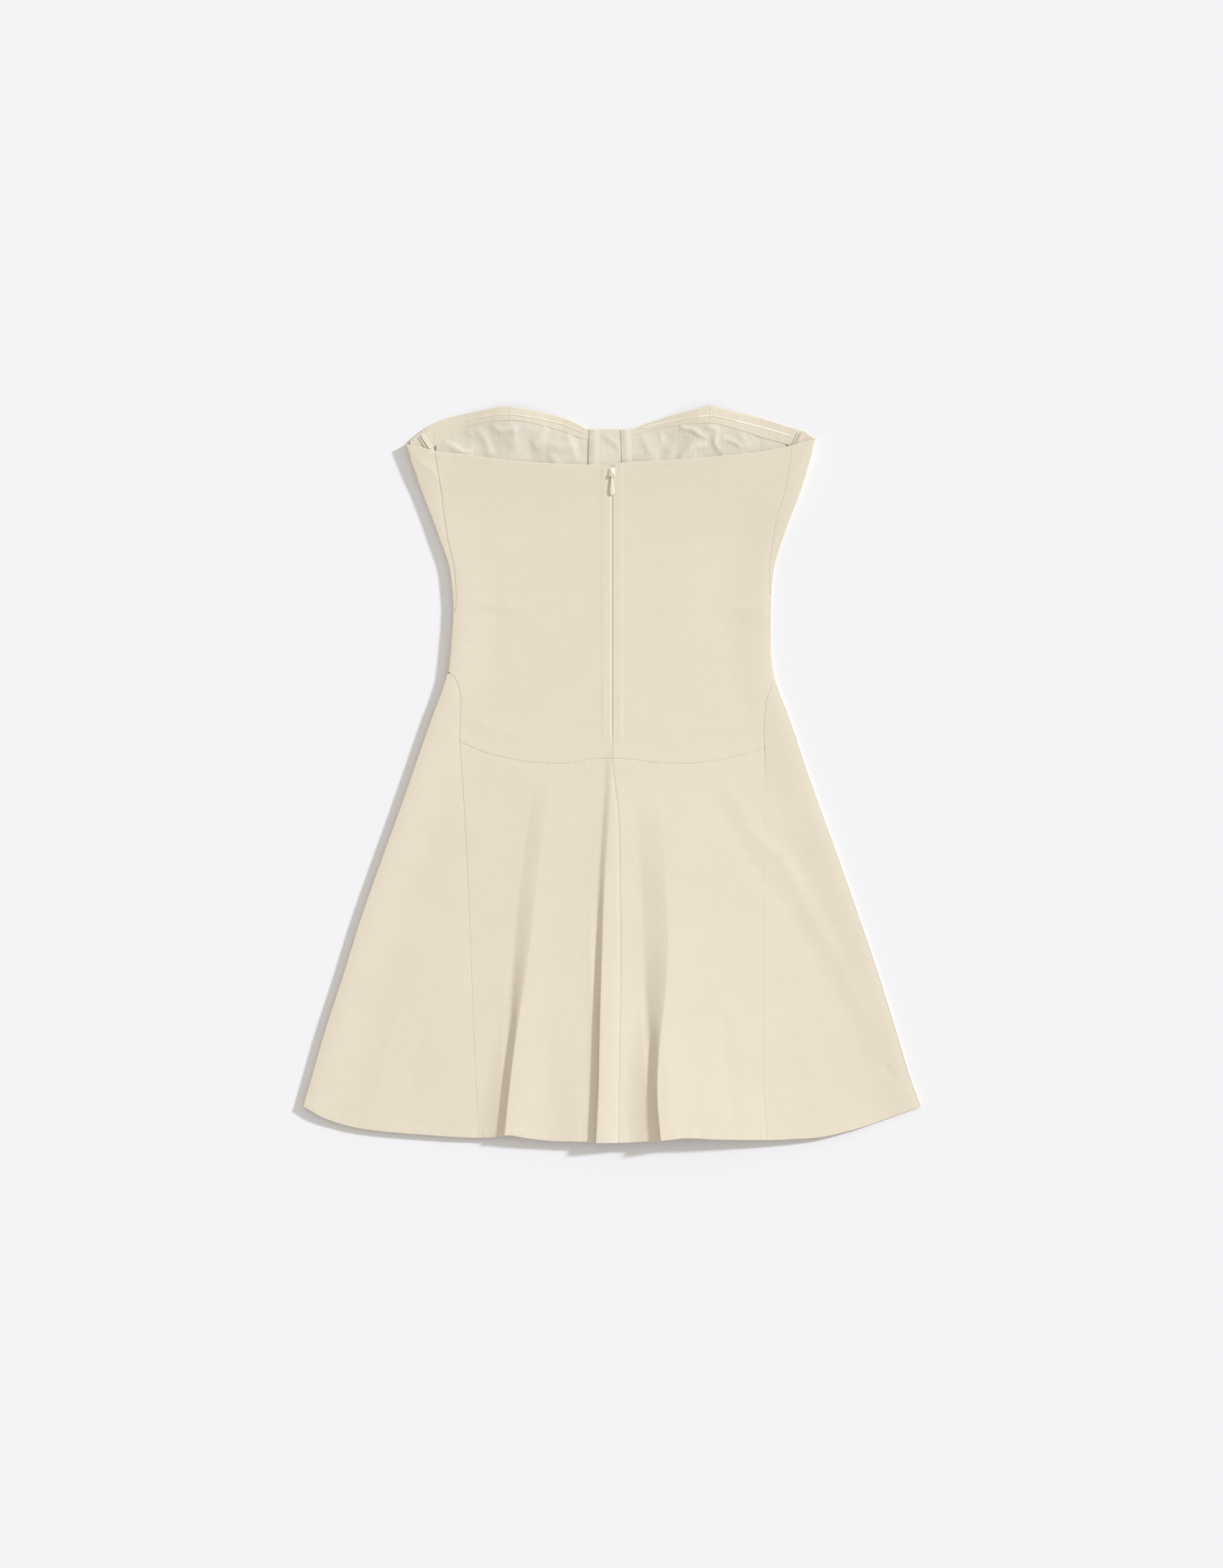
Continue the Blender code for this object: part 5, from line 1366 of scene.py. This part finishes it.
def beads(name, middles, runs, ups, length, radius, look, sides=7, slot=None, nodes=(), flat=0.75):
    """Short round-ended threads: one at each middle, along its run."""
    middles, runs, ups = (np.asarray(v, float) for v in (middles, runs, ups))
    runs = runs / np.linalg.norm(runs, axis=-1, keepdims=True)
    sideways = np.cross(runs, ups)
    sideways /= np.linalg.norm(sideways, axis=-1, keepdims=True)
    ups = np.cross(sideways, runs)
    rows = [(-0.5, 0.35), (-0.36, 0.85), (-0.15, 1.0), (0.15, 1.0), (0.36, 0.85), (0.5, 0.35)]
    verts, faces = [], []
    for k, (m, r, s, u) in enumerate(zip(middles, runs, sideways, ups)):
        base = len(verts)
        for share, size in rows:
            for i in range(sides):
                t = 2 * math.pi * i / sides
                verts.append(m + r * share * length + (s * math.cos(t) + u * flat * math.sin(t)) * radius * size)
        for j in range(len(rows) - 1):
            for i in range(sides):
                a, b = base + j * sides + i, base + j * sides + (i + 1) % sides
                faces.append((a, b, b + sides, a + sides))
        faces.append(tuple(base + i for i in range(sides))[::-1])
        faces.append(tuple(base + (len(rows) - 1) * sides + i for i in range(sides)))
    piece = solid(name, verts, faces, look, nodes=nodes)
    return piece


def stitch_row(points, pitch, up=(0.0, 0.0, 1.0), start=0.0):
    """Middles and runs of the stitches along a line of points."""
    points = np.asarray(points, float)
    lengths = np.concatenate([[0.0], np.cumsum(np.linalg.norm(np.diff(points, axis=0), axis=1))])
    at = np.arange(start + pitch / 2, lengths[-1] - pitch / 2, pitch)
    middle = np.stack([np.interp(at, lengths, points[:, k]) for k in range(3)], -1)
    ahead = np.stack([np.interp(at + 0.6, lengths, points[:, k]) for k in range(3)], -1)
    behind = np.stack([np.interp(at - 0.6, lengths, points[:, k]) for k in range(3)], -1)
    return middle, ahead - behind, np.tile(np.array(up), (len(at), 1))


def stitches(name, rows, length, radius, look=THREAD, slot="twill"):
    parts = [np.concatenate(v) for v in zip(*rows)]
    return beads(name, *parts, length, radius, look, slot=slot)


def on_back(x, y, lift=0.0):
    x, y = np.broadcast_arrays(np.asarray(x, float), np.asarray(y, float))
    p = back_place(x, y)
    p[..., 2] += lift
    return p


make_slider()
make_pull()

# zip tape and coil
_y = stations(270.0, 2.6)
_v = stations(16.0, 0.8)
_yy = lerp(ZIP_FOOT - 6.0, 303.0, _y)[None, :] + 0 * _v[:, None]
_xx = CENTRE_BACK + (lerp(-1.0, 1.0, _v) * ZIP_TAPE_HALF)[:, None] + 0 * _yy
_zz = back_height(CENTRE_BACK + 0 * _yy, _yy) - 1.45 + 0.0 * _xx
walled("woven_zip_tape", np.stack([_xx, _yy, _zz], -1), 1.0, 0.7, TAPE, nodes=("zip_tape",))
_teeth = np.arange(ZIP_FOOT, 302.5, 1.25)
_mid = np.stack([CENTRE_BACK + 0 * _teeth, _teeth, back_height(CENTRE_BACK + 0 * _teeth, _teeth) - 1.12], -1)
COIL_TEETH = beads("coil", _mid, np.tile([1.0, 0.12, 0.0], (len(_teeth), 1)), np.tile([0, 0, 1.0], (len(_teeth), 1)), 4.2, 0.42, COIL, slot="tape")

# hem stitches, back and front
_x = np.linspace(-291.0, 291.0, 1400)
HEM_BACK = stitches("hem_stitches_back", [stitch_row(on_back(_x, hem(_x) + 8.6, 0.02), 3.0)], 1.9, 0.17)
_pts = front_place(_x[::-1], hem(_x[::-1]) + FRONT_HEM_UP + 8.6)
HEM_FRONT = stitches("hem_stitches_front", [stitch_row(_pts, 3.0, (0, 0, -1.0))], 1.9, 0.17)
# the stitches that close the seam under the zip
_y = np.linspace(31.0, 17.5, 40)
ZIP_FOOT_ROW = stitches("zip_foot_stitches", [stitch_row(on_back(-0.6 - 0.1 * (31.0 - _y), _y, 0.05), 1.9)], 1.1, 0.2)
# stitching of the facing, the bridge and the channels
_rows = []
for _a, _b in ((-198.0, -23.5), (19.0, 193.0)):
    _x = np.linspace(_a, _b, 500)
    _rows.append(stitch_row(lift_place(LAYER_1 + 0.8)(_x, neckline(_x) - 2.3), 2.6))
FACING_ROW = stitches("facing_stitches", _rows, 1.7, 0.13)
_rows = []
for _x1, _y1, _x2, _y2, _w in (
    (-17.6, 341.0, -18.9, 296.0, BONE_WIDTH), (13.4, 341.0, 14.9, 297.5, BONE_WIDTH),
    (-189.2, 335.2, -177.0, 316.0, SIDE_BONE_WIDTH), (186.6, 337.5, 179.0, 320.5, SIDE_BONE_WIDTH),
):
    _t = np.linspace(0.02, 0.98, 60)
    _run = np.array([_x2 - _x1, _y2 - _y1]) / math.dist((_x1, _y1), (_x2, _y2))
    for _s in (-0.40, 0.40):
        _px = lerp(_x1, _x2, _t) - _run[1] * _w * _s
        _py = lerp(_y1, _y2, _t) + _run[0] * _w * _s
        _pz = front_height(_px, _py) + LAYER_1 + 0.85 + 0.5 - 0.10
        _rows.append(stitch_row(np.stack([_px, _py, _pz], -1), 2.2))
CHANNEL_ROW = stitches("channel_stitches", _rows, 1.5, 0.14, slot="satin")
_x = np.linspace(-10.5, 6.5, 40)
BRIDGE_ROW = stitches("bridge_stitches", [stitch_row(lift_place(LAYER_1 + 0.5, True)(_x, 339.8 + 0 * _x), 2.2)], 1.5, 0.13, slot="satin")

# ---------------------------------------------------------- the pieces of cloth: a list of the backs, and a pass over the pieces that does nothing with them
FLOOR = "studio_floor"
BACKS = [n for n in PIECES if n.startswith(("cloth_bodice_back", "cloth_skirt_back"))]
for _name in list(PIECES):
    _piece = _name.replace("cloth_", "")
    if _name.startswith(("channel_", "grip_")):
        continue
    if _name == "cloth_bodice_back_left":
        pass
    elif _name == "cloth_bodice_back_right":
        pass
    elif _name == "cloth_skirt_back_left":
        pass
    elif _name == "cloth_skirt_back_right":
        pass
    elif _name == "cloth_skirt_front":
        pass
    elif _name == "woven_zip_tape":
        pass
    elif _name == "cloth_facing_inner_left":
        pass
    elif _name == "cloth_facing_inner_right":
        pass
    elif _name == "cloth_facing_side_left":
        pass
    elif _name == "cloth_facing_side_right":
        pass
    elif _name == "cloth_lining_bridge":
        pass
    elif _name.startswith("cloth_facing_") or _name.startswith("cloth_lining_"):
        _side = "left" if _name.endswith("left") else "right"

# --------------------------------------------------------- floor, light, camera
mesh = bpy.data.meshes.new(FLOOR)
size = 9.0
mesh.from_pydata([(-size, -size, 0), (size, -size, 0), (size, size, 0), (-size, size, 0)], [], [(0, 1, 2, 3)])
floor = bpy.data.objects.new(FLOOR, mesh)
bpy.context.scene.collection.objects.link(floor)
floor.location.z = -0.0002
made, tree, shader, place = nodes_for("pale_floor", (0.82, 0.82, 0.82), 0.9)
shader.inputs["Specular IOR Level"].default_value = 0.0
cloud = noise(tree, place, 3.0, 2.0)
tree.links.new(tint(tree, FLOOR_COLOR, (0.995, 0.995, 0.995), cloud), shader.inputs["Base Color"])
mesh.materials.append(made)
floor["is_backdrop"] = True

sun = bpy.data.lights.new("key", "SUN")
sun.energy = KEY_ENERGY
sun.color = KEY_COLOR
sun.angle = math.radians(KEY_ANGLE)
key = bpy.data.objects.new("key", sun)
bpy.context.scene.collection.objects.link(key)
_az, _el = math.radians(KEY_AZIMUTH), math.radians(KEY_ELEVATION)
_from = Vector((math.cos(_el) * math.cos(_az), math.cos(_el) * math.sin(_az), math.sin(_el)))
key.rotation_mode = "QUATERNION"
key.rotation_quaternion = (-_from).to_track_quat("-Z", "Y")
key.location = _from * 3.0

world = bpy.data.worlds.new("studio")
bpy.context.scene.world = world
world.use_nodes = True
world.node_tree.nodes["Background"].inputs["Color"].default_value = (*AMBIENT, 1.0)
world.node_tree.nodes["Background"].inputs["Strength"].default_value = 1.0
bpy.context.scene.view_settings.view_transform = "Standard"
bpy.context.scene.view_settings.look = "None"

camera = bpy.data.objects.new("camera", bpy.data.cameras.new("camera"))
bpy.context.scene.collection.objects.link(camera)
camera.data.lens = 100.0
camera.data.sensor_width = 36.0
camera.data.sensor_fit = "AUTO"
camera.data.clip_end = 60.0
frame_height = 2184 * 0.71 * MM  # the photo's frame, 1703 by 2184, at 0.71 mm a pixel
camera.location = (-0.0007, -0.0096, frame_height * 100.0 / 36.0 + 0.004)
bpy.context.scene.camera = camera

bpy.context.view_layer.update()
_low, _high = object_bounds()
